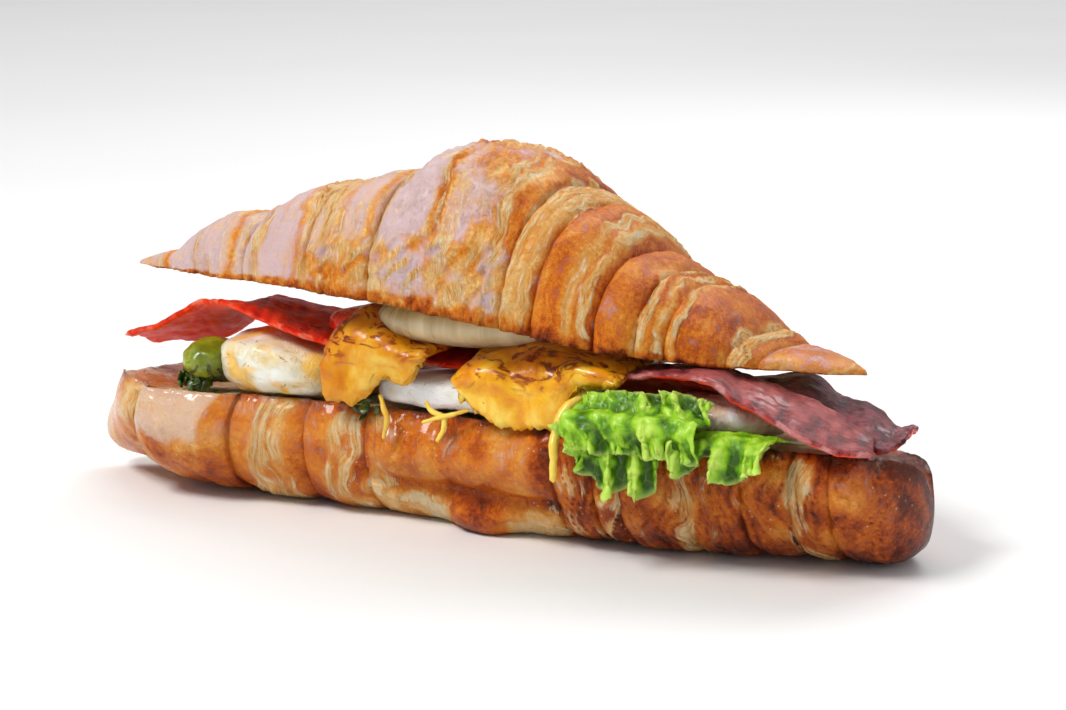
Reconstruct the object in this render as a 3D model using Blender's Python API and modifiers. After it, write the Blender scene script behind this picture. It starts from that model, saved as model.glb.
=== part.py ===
"""Bacon croissant: a long butter croissant cut open and filled with egg, bacon, melted cheese, onion,
red and green pepper and lettuce.

Metres, +Z up. X runs along the croissant, -Y is the open front that the filling shows at, and the flat
base of the lower half stands on z = 0. The sizes below are in millimetres and MM turns them into metres.
"""

import math

import bmesh
import bpy
import numpy as np
from mathutils import Vector, noise

MM = 0.001
GAP = 0.35 * MM  # clearance between pieces that touch

# Lower half of the croissant
FRONT_RIM = 26.0  # height of the cut at the front edge
RIM_Y = -30.0  # where that height is measured
LOWER_TILT = ((-100, 0.10), (60, 0.10), (85, 0.15), (104, 0.15))  # fall of the cut towards the back
LOWER_ENDS = (-100.5, 104.0)
LOWER_FRONT = ((-100.5, 0), (-99.5, -3), (-97.5, -7), (-95, -11), (-91.5, -15.5), (-88, -19.5), (-83.5, -24),
               (-77, -28), (-70, -30), (-62, -29.5), (-46, -26), (-25, -25), (-1, -25), (16, -29), (41, -34),
               (62, -34), (80, -32.5), (89, -30.5), (96, -27), (100.5, -22.5), (103, -17), (104, -11))
LOWER_BACK = ((-100.5, 0), (-99.5, 1.2), (-96, 3.4), (-90, 7.6), (-80, 15.5), (-65, 23), (-45, 30), (0, 37),
              (40, 34), (66, 27), (80, 18.5), (90, 10), (96, 3), (100.5, -3), (103, -7), (104, -9.5))
LOWER_FOOT = ((-100.5, 0.5), (-93, 2), (-88, 3), (-80, 4), (-70, 4), (-60, 1), (-44, -6), (-20, -8),
              (0, -10), (12, -11), (38, -12), (57, -10), (70, -8), (81, -3), (92, -3), (99, -7),
              (104, -10))  # front edge of the flat base
LOWER_HEEL = ((-100.5, 0.7), (-90, 5), (-80, 9), (-60, 14), (-40, 18), (0, 22), (40, 20), (66, 14),
              (84, 7), (96, -1), (104, -10))  # back edge of the flat base
LOWER_LIFT = ((-100.5, 9.5), (-99, 6.6), (-97, 5), (-93, 3.6), (-88, 3.2), (-80, 2.6), (-72, 1.2),
              (-60, 0), (90, 0), (96, 0.8), (100, 2.6), (102.5, 5.6), (104, 11))  # underside off the table
LOWER_DROP = ((-100.5, 12), (-99, 9.6), (-97, 7.2), (-95, 5.0), (-92, 2.4), (-88, -0.4), (-83, -1.8),
              (-75, -0.8), (-68, 0), (96, 0), (100, 0.8), (102.5, 3), (104, 9))  # fall of the cut at the rounded ends
LOWER_TUCK = ((-100.5, 0.7), (-94, 0.5), (-88, 0.25), (-80, 0), (92, 0), (99, 0.12),
              (104, 0.5))  # how much narrower the ends are at the cut than below it
# Rolled bands of dough: where each starts, and how far it stands out
LOWER_BANDS = ((-100.5, -0.8), (-72, 1.3), (-50, 0.0), (-33, 0.6), (-18, 1.4), (29, 0.1), (38, -0.5),
               (44, 0.6), (58, 0.5), (70, -0.2), (80, 0.0), (88, 0.9))
LOWER_LEAN = ((-100.5, 0.0), (-88, 0.2), (-72, 0.27), (-50, 0.20), (-20, 0.04), (104, 0.0))  # slant of
# the bands: how far each creeps towards the left end, per unit of depth below the cut
CREASE_DEPTH = 2.6
KNOB = (8.0, 13.0, 5.0, 6.6, 4.2)  # roll of dough low on the front: its x and length, z and height, depth
KNOB_RINGS = (-1.5, 2.0, 11.5, 15.0)
SHOULDER = (2.6, 0.2)  # inset of the cut's edge inside the crust below it, and the turn over which it rounds
ROLL = (-20.0, 31.0, 2.2, 3.0)  # thick roll along the front's middle: its stretch, how far out, groove below
CORNER_SHARE = 0.4  # part of the lower crust's points on each of its two rounded sides

# Upper half of the croissant
UPPER_ENDS = (-90.5, 86.0)
UPPER_RIM = ((-90.5, 48.5), (-64, 49.8), (-32, 50.8), (-5, 50.1), (12, 48.8), (24, 46.8), (40, 43.7),
             (60, 41.0), (86, 37.0))  # height of the cut at the front edge
UPPER_TILT = 0.15
UPPER_HALF = ((-90.5, 0), (-78, 8.5), (-64, 16), (-50, 22), (-32, 28), (-5, 34.5), (13, 37.5), (24, 37.2),
              (40, 33.5), (59, 25.5), (67, 19), (74, 12), (80, 7.5), (86, 0))  # front half-width
UPPER_BACK_SHARE = 1.06  # the hidden back is this much deeper than the front
UPPER_HOLLOW = 4.0  # how far the filling dents the cut face
# Bands: where each starts and ends, the height of its crest at both, and how far it swells between
UPPER_BANDS = ((-90.5, -77, 49.2, 53.2, 0.3), (-77, -50.5, 54.4, 64.2, 2.8), (-50.5, -31, 64.0, 72.4, 1.0),
               (-31, -13.5, 71.4, 75.6, 0.0), (-13.5, 22.5, 74.0, 76.2, 6.6), (22.5, 29, 73.8, 70.6, 0.0),
               (29, 39.5, 70.6, 62.2, 1.2), (39.5, 47, 61.0, 57.4, 0.2), (47, 52.5, 57.2, 54.8, 0.0),
               (52.5, 63.5, 55.4, 46.8, 0.4), (63.5, 68.5, 45.6, 42.8, 0.0), (68.5, 86, 42.4, 38.0, 0.8))
APRON = (-36.0, 25.0, 0.12, 1.3)  # flap of dough below the hump: its stretch, upper edge's turn, depth

AROUND = 26  # points in each cross-section
CRUST_SHARE = 20 / 26  # part of them that lie on the crust
TIP_STEPS = (0.6, 1.8, 3.8)  # cross-sections this far from each end of the lower half
NARROW, WIDE = 16.5, 30.0  # widths of a band below and above which it has fewer or more cross-sections
BAND_STATIONS = {"narrow": (0.0, 0.2, 0.8), "usual": (0.0, 0.13, 0.5, 0.87),
                 "wide": (0.0, 0.08, 0.25, 0.5, 0.75, 0.92)}

# Bacon: the near and the far edge of each slice
BACON_THICK = 1.9
BACON_LEFT_NEAR = ((-87, -12, 33.8), (-77.7, -14, 36.6), (-69, -17, 41.2), (-61, -19, 45.0),
                   (-55.5, -20.5, 45.0), (-45, -22.5, 42.4), (-35, -23, 39.4), (-27, -22, 37.6),
                   (-12, -20, 35.8), (3, -20, 35.2), (14, -18, 34.6))
BACON_LEFT_FAR = ((-91, 5, 28.8), (-83, 6, 30.4), (-76, 7, 31.0), (-70, 8, 32.4), (-65, 9, 36.0),
                  (-59, 10, 40.6), (-50, 11, 40.0), (-38, 11, 38.8), (-22, 11, 37.0), (-4, 12, 34.6),
                  (14, 12, 33.4))
BACON_RIGHT_NEAR = ((38.5, -27, 35.6), (46, -29.5, 38.2), (53, -31, 39.8), (60.8, -32, 39.9),
                    (69.5, -34, 36.6), (76, -35.5, 34.4), (83, -36.5, 31.6), (91, -37, 28.6),
                    (98, -33, 27.6))
BACON_RIGHT_FAR = ((34, -7, 34.2), (44, -8, 36.4), (54, -9, 37.4), (64, -11, 36.8), (74, -13, 34.8),
                   (84, -15, 31.4), (93, -16, 28.0))
BACON_BACK_NEAR = ((46, -2, 31.2), (58, -6, 32.6), (70, -9, 31.8), (80, -12, 29.2), (89, -18, 26.6),
                   (95, -20, 25.8), (98.5, -13, 26.8))
BACON_BACK_FAR = ((44, 15, 30.2), (58, 14, 31.6), (70, 12, 32.8), (78, 10, 29.8), (86, 7, 27.8),
                  (93, 3, 26.2), (98.5, -5, 26.8))
BACON_UNDER_NEAR = ((44, -16, 31.0), (52, -21, 32.0), (60, -23, 34.6), (68, -18, 34.0))
BACON_UNDER_FAR = ((44, 14, 27.0), (52, 14, 28.4), (60, 12, 30.0), (68, 10, 29.4))

# Egg, onion and peppers: centre, half-size, roundness and lump height; z counts from the lower cut
EGG_LEFT = ((-43.5, 0.5, 6.8), (18.6, 27.2, 7.8), 3.0, 0.5)
EGG_MIDDLE = ((3.5, 2.0, 4.4), (23.5, 27.5, 4.2), 4.0, 0.4)
EGG_RIGHT = ((62.0, -6.0, 4.6), (12.8, 23.0, 4.4), 2.6, 0.4)
ONION = ((3.5, -1.0, 19.4), (25.0, 28.5, 5.6), 2.6, 0.0)
RED_PEPPER = ((-23.5, -4.5, 17.2), (9.5, 16.5, 3.8), 2.6, 0.3)
GREEN_PEPPER = ((-64.5, -11.0, 4.6), (6.6, 10.5, 5.0), 2.4, 0.5)

# Melted cheese: the fall of each slice, from its back over the top and down the front
CHEESE_THICK = 3.2
CHEESE_LEFT_X = (-26.0, -2.8)
CHEESE_LEFT_TOP = ((-26, 40.5), (-23, 43.4), (-18.5, 46.0), (-14, 45.4), (-9, 42.2), (-2.8, 39.4))
CHEESE_LEFT_LOW = ((-26, 27.0), (-19, 26.4), (-16.5, 28.4), (-13, 31.6), (-7, 32.6), (-2.8, 37.0))
CHEESE_LEFT_FRONT = -28.0
CHEESE_RIGHT_X = (7.0, 43.0)
CHEESE_RIGHT_TOP = ((7, 36.4), (10, 39.8), (18, 41.6), (30, 41.4), (36, 40.4), (43, 38.8))
CHEESE_RIGHT_LOW = ((7, 31.5), (11, 28.4), (16, 26.8), (29, 26.6), (31.5, 31.0), (35, 36.0), (43, 37.2))
CHEESE_RIGHT_FRONT = -31.0
CHEESE_BACK_Y = 14.0
DRIP = ((38.0, -24.0, 37.2), (34.0, -28.0, 35.0), (30.5, -31.0, 32.4), (29.4, -34.0, 28.6),
        (29.2, -37.6, 24.0), (29.0, -38.2, 17.4))
SHRED_LEFT = ((-16.0, -26.5, 29.6), (-14.4, -28.8, 27.0), (-13.2, -29.4, 24.4), (-14.2, -29.8, 20.4))
SHRED_MIDDLE = ((11.5, -29.5, 29.0), (5.0, -30.2, 27.4), (0.5, -29.4, 27.6), (-3.0, -29.6, 25.6),
                (-1.6, -30.4, 21.6))
SHRED_THICK = 0.7
DRIP_THICK = 1.2

# Lettuce: stretch along the croissant, hem height under each lobe, and its frill
LEAF_THICK = 0.8
LEAF_X = (33.0, 79.0)
LEAF_HEM = ((33, 29.0), (35, 27.0), (38, 22.5), (41, 18.6), (45.5, 15.4), (50, 18.0), (53.5, 15.6),
            (56, 18.0), (57.8, 25.0), (59.2, 22.5), (61.5, 20.8), (64, 23.6), (65.8, 25.4), (68, 21.8),
            (70.5, 20.0), (74, 22.6), (77, 23.6), (79, 29.0))
LEAF_FRILLS = 8.0
CURL_X = (36.0, 65.0)
CURL_TOP = ((36, 34.4), (39, 35.6), (43, 35.8), (48, 36.2), (53, 35.2), (58, 36.0), (65, 34.8))
CURL_PATH = ((-9.2, 28.2), (-8.8, 31.0), (-5.6, 32.6), (-2.2, 33.4), (0.6, 36.0))  # out from the rim, up

COLOURS = {
    "crust": ((0.62, 0.30, 0.10), 0.45),
    "lower_crust": ((0.58, 0.27, 0.08), 0.30),
    "bacon": ((0.42, 0.07, 0.05), 0.35),
    "egg": ((0.90, 0.87, 0.76), 0.35),
    "cheese": ((0.92, 0.55, 0.06), 0.35),
    "onion": ((0.80, 0.72, 0.54), 0.30),
    "red_pepper": ((0.66, 0.05, 0.04), 0.25),
    "green_pepper": ((0.33, 0.44, 0.08), 0.30),
    "lettuce": ((0.30, 0.56, 0.08), 0.40),
}


def clear_scene():
    for old in list(bpy.data.objects):
        bpy.data.objects.remove(old, do_unlink=True)


def make_collection(name):
    made = bpy.data.collections.new(name)
    bpy.context.scene.collection.children.link(made)
    return made


def material(name):
    found = bpy.data.materials.get(name)
    if found:
        return found
    colour, roughness = COLOURS[name]
    made = bpy.data.materials.new(name)
    made.use_nodes = True
    shader = made.node_tree.nodes["Principled BSDF"]
    shader.inputs["Base Color"].default_value = (*colour, 1.0)
    shader.inputs["Roughness"].default_value = roughness
    shader.inputs["Metallic"].default_value = 0.0
    return made


def add_object(name, mesh, colour, collection):
    made = bpy.data.objects.new(name, mesh)
    made.data.materials.append(material(colour))
    collection.objects.link(made)
    return made


def mesh_from(bm, name):
    bmesh.ops.recalc_face_normals(bm, faces=bm.faces)
    closed = not any(edge.is_boundary for edge in bm.edges)
    if closed and bm.calc_volume(signed=True) < 0:
        bmesh.ops.reverse_faces(bm, faces=bm.faces)
    mesh = bpy.data.meshes.new(name)
    bm.to_mesh(mesh)
    bm.free()
    mesh.shade_smooth()
    return mesh


def curve(x, stations):
    """Value at x of a smooth curve through (position, value) stations that never overshoots them."""
    xs, ys = np.array(stations, float).T
    step = np.diff(xs)
    slope = np.diff(ys) / step
    tangent = np.zeros(len(xs))
    both = slope[:-1] * slope[1:]
    total = slope[:-1] + slope[1:]
    tangent[1:-1] = np.where(both > 0, 2 * both / np.where(both > 0, total, 1), 0)
    tangent[0], tangent[-1] = slope[0], slope[-1]
    at = np.clip(np.searchsorted(xs, x) - 1, 0, len(step) - 1)
    t = np.clip((x - xs[at]) / step[at], 0, 1)
    rise = ys[at] + (ys[at + 1] - ys[at]) * t * t * (3 - 2 * t)
    return rise + step[at] * (tangent[at] * t * (1 - t) ** 2 - tangent[at + 1] * t * t * (1 - t))


def lumps(point, size, seed=0.0):
    """Soft noise from -1 to 1 whose lumps are about size across."""
    return noise.noise(Vector(point) / size + Vector((seed, seed * 1.7, -seed)))


def signed_power(value, power):
    return math.copysign(abs(value) ** power, value)


def lower_cut(x, y):
    """Height of the lower half's cut face."""
    return FRONT_RIM - curve(x, LOWER_TILT) * (y - RIM_Y) - curve(x, LOWER_DROP)


def band_at(x, starts, end):
    """Which band holds x, and how far through it x lies, from 0 to 1."""
    index = min(max(int(np.searchsorted(starts, x, side="right")) - 1, 0), len(starts) - 1)
    finish = starts[index + 1] if index + 1 < len(starts) else end
    return index, min(max((x - starts[index]) / (finish - starts[index]), 0.0), 1.0)


def pillow(share, sharpness):
    """0 at a band's two creases and 1 over its middle."""
    return (4 * share * (1 - share)) ** sharpness if 0 < share < 1 else 0.0


def stations_of(starts, end):
    """Cross-sections bunched at the creases between bands."""
    edges = [*starts, end]
    found = []
    for low, high in zip(edges[:-1], edges[1:]):
        width = high - low
        kind = "narrow" if width < NARROW else "wide" if width > WIDE else "usual"
        found += [low + width * share for share in BAND_STATIONS[kind]]
    return found[1:]


def bread(name, stations, ends, section, colour, collection):
    """A bread half: a ball whose poles are the two tips, each ring of it moved to one cross-section."""
    bm = bmesh.new()
    bmesh.ops.create_uvsphere(bm, u_segments=AROUND, v_segments=len(stations) + 1, radius=1)
    for vert in bm.verts:
        ring = round(math.acos(max(-1.0, min(1.0, vert.co.z))) / math.pi * (len(stations) + 1))
        if ring in (0, len(stations) + 1):
            x = ends[0] if ring == 0 else ends[1]
            points = [section(x, share / 4) for share in range(4)]
            vert.co = Vector(np.mean(points, axis=0)) * MM
            continue
        share = round(math.atan2(vert.co.y, vert.co.x) / math.tau * AROUND) % AROUND / AROUND
        vert.co = Vector(section(stations[ring - 1], share)) * MM
    return add_object(name, mesh_from(bm, name), colour, collection)


def lower_section(station, share):
    """A point of the lower half: down and round the crust from front to back, then along the cut."""
    x = station
    if share <= CRUST_SHARE + 1e-6:
        down = math.sin(math.pi * share / CRUST_SHARE) ** 0.6
        x -= curve(station, LOWER_LEAN) * FRONT_RIM * down
    front, back = curve(x, LOWER_FRONT), curve(x, LOWER_BACK)
    foot, heel = curve(x, LOWER_FOOT), curve(x, LOWER_HEEL)
    lift = curve(x, LOWER_LIFT)
    if share > CRUST_SHARE + 1e-6:
        across = (share - CRUST_SHARE) / (1 - CRUST_SHARE)
        near = foot + (front - foot) * (1 - curve(x, LOWER_TUCK))
        far = heel + (back - heel) * (1 - curve(x, LOWER_TUCK))
        y = far + (near - far) * across
        dip = 1.2 * math.sin(math.pi * across) ** 0.5
        return x, y, lower_cut(x, y) - dip + 0.5 * lumps((x, y, 0), 9, 3)
    along = share / CRUST_SHARE
    if CORNER_SHARE < along < 1 - CORNER_SHARE:
        across = (along - CORNER_SHARE) / (1 - 2 * CORNER_SHARE)
        return x, foot + (heel - foot) * across, lift
    side = -1 if along < 0.5 else 1
    edge, inner = (front, foot) if side < 0 else (back, heel)
    turn = math.pi / 2 * min(1.0, min(along, 1 - along) / CORNER_SHARE)
    rim = lower_cut(x, edge)
    tuck = 1 - curve(x, LOWER_TUCK) * (1 - math.sin(turn)) ** 2
    y = inner + (edge - inner) * signed_power(math.cos(turn), 0.92) * tuck
    z = rim - (rim - lift) * math.sin(turn) ** 0.95
    index, through = band_at(station, [start for start, _ in LOWER_BANDS], LOWER_ENDS[1])
    taper = min(1.0, (back - front) / 40)
    out = LOWER_BANDS[index][1] - CREASE_DEPTH * (1 - pillow(through, 0.4)) * math.sin(turn) ** 0.3
    turned = turn / (math.pi / 2)
    out -= SHOULDER[0] * max(0.0, 1 - turned / SHOULDER[1]) ** 2
    out = taper * (out + 1.5 * math.sin(2 * turn) + 0.5 * lumps((x, y, z), 14, 5))
    if side < 0:
        out += knob(x, z) + roll(x, turned)
    y += side * out * math.cos(turn)
    z -= out * math.sin(turn) * 0.6
    return x, y, max(z, lift)


def knob(x, z):
    """How far the small roll of dough stands out of the front of the lower half."""
    middle, length, height, tall, deep = KNOB
    away = abs(2 * (x - middle) / length / 1.2) ** 3 + abs(2 * (z - height) / tall / 1.2) ** 3
    return deep * math.exp(-away)


def roll(x, turned):
    """How far the thick roll stands out, less the groove under it, a share of the turn below the rim."""
    start, end, stand, groove = ROLL
    share = max(0.0, min(1.0, (x - start) / 7, (end - x) / 5))
    swell = math.exp(-(((turned - 0.19) / 0.13) ** 2))
    under = math.exp(-(((turned - 0.43) / 0.09) ** 2))
    return share * (stand * swell - groove * under)


def upper_cut(x, y):
    """Height of the upper half's cut face, before the filling dents it."""
    front = curve(x, UPPER_HALF)
    return curve(x, UPPER_RIM) - UPPER_TILT * min(1.0, front / 30) * (y + front)


def upper_section(x, share):
    """A point of the upper half: over the crust from front to back, then along the cut."""
    front = curve(x, UPPER_HALF)
    back = front * UPPER_BACK_SHARE
    if share > CRUST_SHARE + 1e-6:
        across = (share - CRUST_SHARE) / (1 - CRUST_SHARE)
        y = back - (front + back) * across
        hollow = UPPER_HOLLOW * math.sin(math.pi * across) ** 0.8 * min(1.0, front / 34) ** 2
        return x, y, upper_cut(x, y) + hollow + 0.4 * lumps((x, y, 0), 8, 7)
    turn = math.pi * share / CRUST_SHARE
    index, through = band_at(x, [band[0] for band in UPPER_BANDS], UPPER_ENDS[1])
    _, _, first, last, swell = UPPER_BANDS[index]
    rise = first + (last - first) * through + swell * math.sin(math.pi * through) - upper_cut(x, 0)
    rise -= 2.0 * (1 - pillow(through, 0.35)) * min(1.0, rise / 10)
    bulge = 1 + 0.07 * (pillow(through, 0.4) - 0.7)
    half, wide, tall = (front, 0.86, 0.82) if turn < math.pi / 2 else (back, 0.95, 1.0)
    y = -half * bulge * signed_power(math.cos(turn), wide)
    z = upper_cut(x, y) + rise * math.sin(turn) ** tall
    low, high, edge, deep = APRON
    if low < x < high and turn < math.pi / 2:
        near = min(1.0, (x - low) / 8, (high - x) / 8)
        y -= deep * near / (1 + math.exp((turn / math.pi - edge) / 0.012))
    rough = 0.5 * min(1.0, front / 15) * lumps((x, y, z), 10, 2)
    return x, y - rough * math.cos(turn), z + rough * math.sin(turn)


def edge_point(stations, share):
    """A point on a smooth line through (x, y, z) stations, by its share of their number."""
    places = np.linspace(0, 1, len(stations))
    axes = np.array(stations, float).T
    return np.array([float(curve(share, np.column_stack([places, axis]))) for axis in axes])


def sheet(name, along, across, surface, thickness, colour, collection):
    """A thin solid: a flat grid moved onto surface(u, v), for u and v from 0 to 1, then thickened."""
    bm = bmesh.new()
    bmesh.ops.create_grid(bm, x_segments=along, y_segments=across, size=0.5)
    for vert in bm.verts:
        vert.co = Vector(surface(vert.co.x + 0.5, vert.co.y + 0.5)) * MM
    made = add_object(name, mesh_from(bm, name), colour, collection)
    thicken = made.modifiers.new("Thickness", "SOLIDIFY")
    thicken.thickness = thickness * MM
    thicken.offset = 0
    return made


def bacon(name, near, far, waves, height, collection, along=20):
    """A fried slice between its near and far edges, rippled along its length."""

    def surface(u, v):
        fold = height * math.sin(math.tau * waves * u + 2.2 * v) * (0.4 + 0.6 * v)
        bow = 0.9 * math.sin(math.pi * v)
        point = edge_point(near, u) * (1 - v) + edge_point(far, u) * v
        ragged = 0.9 * lumps((u * 60, v * 3, 0), 4, waves)
        return point + np.array((0.0, ragged * (1 - 2 * v), fold + bow))

    return sheet(name, along, 6, surface, BACON_THICK, "bacon", collection)


def blob(name, spec, colour, collection, rings=10, around=18):
    """A rounded lump: a ball made squarer by its roundness, with soft lumps, set on the lower cut."""
    centre, half, roundness, lump = spec
    bm = bmesh.new()
    bmesh.ops.create_uvsphere(bm, u_segments=around, v_segments=rings, radius=1)
    for vert in bm.verts:
        way = vert.co.normalized()
        reach = sum(abs(c) ** roundness for c in way) ** (-1 / roundness)
        local = Vector([c * reach * h for c, h in zip(way, half)])
        local += way * lump * lumps(local, 7, half[0])
        x, y, z = (c + d for c, d in zip(centre, local))
        vert.co = Vector((x, y, z + lower_cut(x, y))) * MM
    return add_object(name, mesh_from(bm, name), colour, collection)


def cheese(name, reach, top, low, front, collection, along, seed):
    """A melted slice that lies over the filling, turns at the front and hangs to an uneven hem."""

    def surface(u, v):
        ragged = 1.6 * lumps((u * 9, v * 9, 0), 2.5, seed) * (1 - 4 * v * (1 - v))
        x = reach[0] + (reach[1] - reach[0]) * u + 1.5 * (2 * u - 1) * math.sin(math.pi * v) + ragged
        height, hem = curve(x, top), curve(x, low) + ragged
        turn_share = 0.5
        if v < turn_share:
            t = v / turn_share
            y = CHEESE_BACK_Y + (front + 11 - CHEESE_BACK_Y) * t
            z = height - 2.5 * (1 - t) ** 2
        else:
            t = (v - turn_share) / (1 - turn_share)
            y = front + 11 - 11 * math.sin(math.pi / 2 * min(1.0, t * 1.6))
            z = height - (height - hem) * (1 - math.cos(math.pi / 2 * t)) ** 0.9
        return x, y, z + 0.7 * lumps((x, y, z), 5, seed)

    return sheet(name, along, 10, surface, CHEESE_THICK, "cheese", collection)


def strand(name, stations, thickness, collection):
    """A thin drip or shred of cheese: a bevelled line, made a mesh so that it can be joined."""
    line = bpy.data.curves.new(name, "CURVE")
    line.dimensions = "3D"
    line.bevel_depth = thickness * MM
    line.bevel_resolution = 1
    line.use_fill_caps = True
    spline = line.splines.new("POLY")
    count = 9
    spline.points.add(count - 1)
    for i, point in enumerate(spline.points):
        point.co = (*(edge_point(stations, i / (count - 1)) * MM), 1.0)
        point.radius = 1.0 - 0.35 * abs(2 * i / (count - 1) - 1)
    return add_object(name, mesh_of_curve(line, name), "cheese", collection)


def mesh_of_curve(line, name):
    holder = bpy.data.objects.new(name + "_line", line)
    bpy.context.scene.collection.objects.link(holder)
    bpy.context.view_layer.update()
    graph = bpy.context.evaluated_depsgraph_get()
    mesh = bpy.data.meshes.new_from_object(holder.evaluated_get(graph))
    bpy.data.objects.remove(holder)
    bm = bmesh.new()
    bm.from_mesh(mesh)
    bmesh.ops.remove_doubles(bm, verts=bm.verts, dist=0.01 * MM)
    bmesh.ops.recalc_face_normals(bm, faces=bm.faces)
    bm.to_mesh(mesh)
    bm.free()
    return mesh


def lettuce_frill(u, v, seed):
    """How far the leaf stands off its own plane: more and tighter waves towards the margin."""
    wide = math.sin(math.tau * (LEAF_FRILLS * 0.4 * u + 0.2 * seed))
    tight = math.sin(math.tau * (LEAF_FRILLS * (u + 0.04 * math.sin(11 * u)) + 0.3 * v + seed))
    return 1.5 * v * wide + 2.0 * v ** 1.5 * tight


def hanging_leaf(collection):
    """The leaf that lies on the lower cut, turns over the front rim and hangs outside the crust."""

    def surface(u, v):
        x = LEAF_X[0] + (LEAF_X[1] - LEAF_X[0]) * u
        rim = curve(x, LOWER_FRONT)
        hem = curve(x, LEAF_HEM)
        frill = lettuce_frill(u, v, 0.1)
        if v < 0.35:
            t = v / 0.35
            y = -14 + (rim - 1.5 + 14) * t
            return x, y, lower_cut(x, y) + 1.0 + 2.6 * t * t + 0.7 * abs(frill)
        t = (v - 0.35) / 0.65
        turn = math.sin(math.pi / 2 * min(1.0, t * 2.0))
        top = FRONT_RIM + 3.6 + 0.6 * frill * (1 - t)
        y = rim - 1.5 - 5.4 * turn - (1.2 + 0.75 * frill) * t
        return x + 0.7 * math.cos(math.tau * LEAF_FRILLS * u) * t, y, top - (top - hem) * t ** 1.3

    return sheet("lettuce_leaf", 42, 7, surface, LEAF_THICK, "lettuce", collection)


def curled_leaf(collection):
    """The torn leaf on top of the first: from its ruffled front edge it rises back to its top edge."""

    def surface(u, v):
        x = CURL_X[0] + (CURL_X[1] - CURL_X[0]) * u
        places = np.linspace(0, 1, len(CURL_PATH))
        out, height = (float(curve(v, np.column_stack([places, axis]))) for axis in np.array(CURL_PATH).T)
        margin = abs(2 * v - 1)
        frill = lettuce_frill(u * 0.7, margin, 0.45)
        height += (curve(x, CURL_TOP) - CURL_PATH[-1][1]) * v * v
        return x + 0.4 * frill, curve(x, LOWER_FRONT) + out + 0.3 * frill, height + 0.5 * frill * margin

    return sheet("lettuce_curl", 28, 6, surface, LEAF_THICK, "lettuce", collection)


def settle(obj):
    """Turns an object's modifiers into its own mesh."""
    bpy.context.view_layer.update()
    graph = bpy.context.evaluated_depsgraph_get()
    mesh = bpy.data.meshes.new_from_object(obj.evaluated_get(graph))
    obj.modifiers.clear()
    obj.data = mesh


def combine(obj, other, operation):
    """Joins or cuts. Where the exact solver finds nothing left, the manifold one does the work."""
    before = obj.data
    for solver in ("EXACT", "MANIFOLD"):
        joined = obj.modifiers.new(operation.title(), "BOOLEAN")
        joined.operation = operation
        joined.solver = solver
        joined.object = other
        settle(obj)
        if len(obj.data.polygons):
            return
        print(solver, "left nothing of", obj.name, "against", other.name)
        obj.data = before


def keep_largest(obj):
    """Drops the loose scraps that a cut leaves, and welds its slivers."""
    bm = bmesh.new()
    bm.from_mesh(obj.data)
    bmesh.ops.remove_doubles(bm, verts=bm.verts, dist=0.02 * MM)
    bmesh.ops.dissolve_degenerate(bm, edges=bm.edges, dist=0.01 * MM)
    left, groups = set(bm.verts), []
    while left:
        stack, group = [left.pop()], []
        while stack:
            vert = stack.pop()
            group.append(vert)
            for edge in vert.link_edges:
                other = edge.other_vert(vert)
                if other in left:
                    left.remove(other)
                    stack.append(other)
        groups.append(group)
    groups.sort(key=len)
    for group in groups[:-1]:
        bmesh.ops.delete(bm, geom=group, context="VERTS")
    bmesh.ops.triangulate(bm, faces=bm.faces)
    bm.to_mesh(obj.data)
    bm.free()


def grown_copy(obj, collection):
    """The object swollen by the clearance, to cut its neighbours with."""
    cutter = obj.copy()
    cutter.data = obj.data.copy()
    cutter.name = obj.name + "_cutter"
    cutter.hide_render = True
    cutter.display_type = "WIRE"
    collection.objects.link(cutter)
    bm = bmesh.new()
    bm.from_mesh(cutter.data)
    bm.normal_update()
    moves = [vert.normal * GAP for vert in bm.verts]
    for vert, move in zip(bm.verts, moves):
        vert.co += move
    bm.to_mesh(cutter.data)
    bm.free()
    return cutter


def carve(obj, neighbours, grown):
    """Presses obj against its neighbours: it loses what they take up."""
    for neighbour in neighbours:
        combine(obj, grown[neighbour.name], "DIFFERENCE")
    keep_largest(obj)


def fuse(obj, pieces):
    for piece in pieces:
        combine(obj, piece, "UNION")
        bpy.data.objects.remove(piece)
    keep_largest(obj)


def stand_on_origin(objects):
    """Moves the whole so that the middle of its box's bottom is the origin."""
    corners = np.concatenate([[v.co[:] for v in obj.data.vertices] for obj in objects])
    low, high = corners.min(axis=0), corners.max(axis=0)
    shift = Vector((-(low[0] + high[0]) / 2, -(low[1] + high[1]) / 2, -low[2]))
    for obj in objects:
        for vert in obj.data.vertices:
            vert.co += shift


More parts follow.
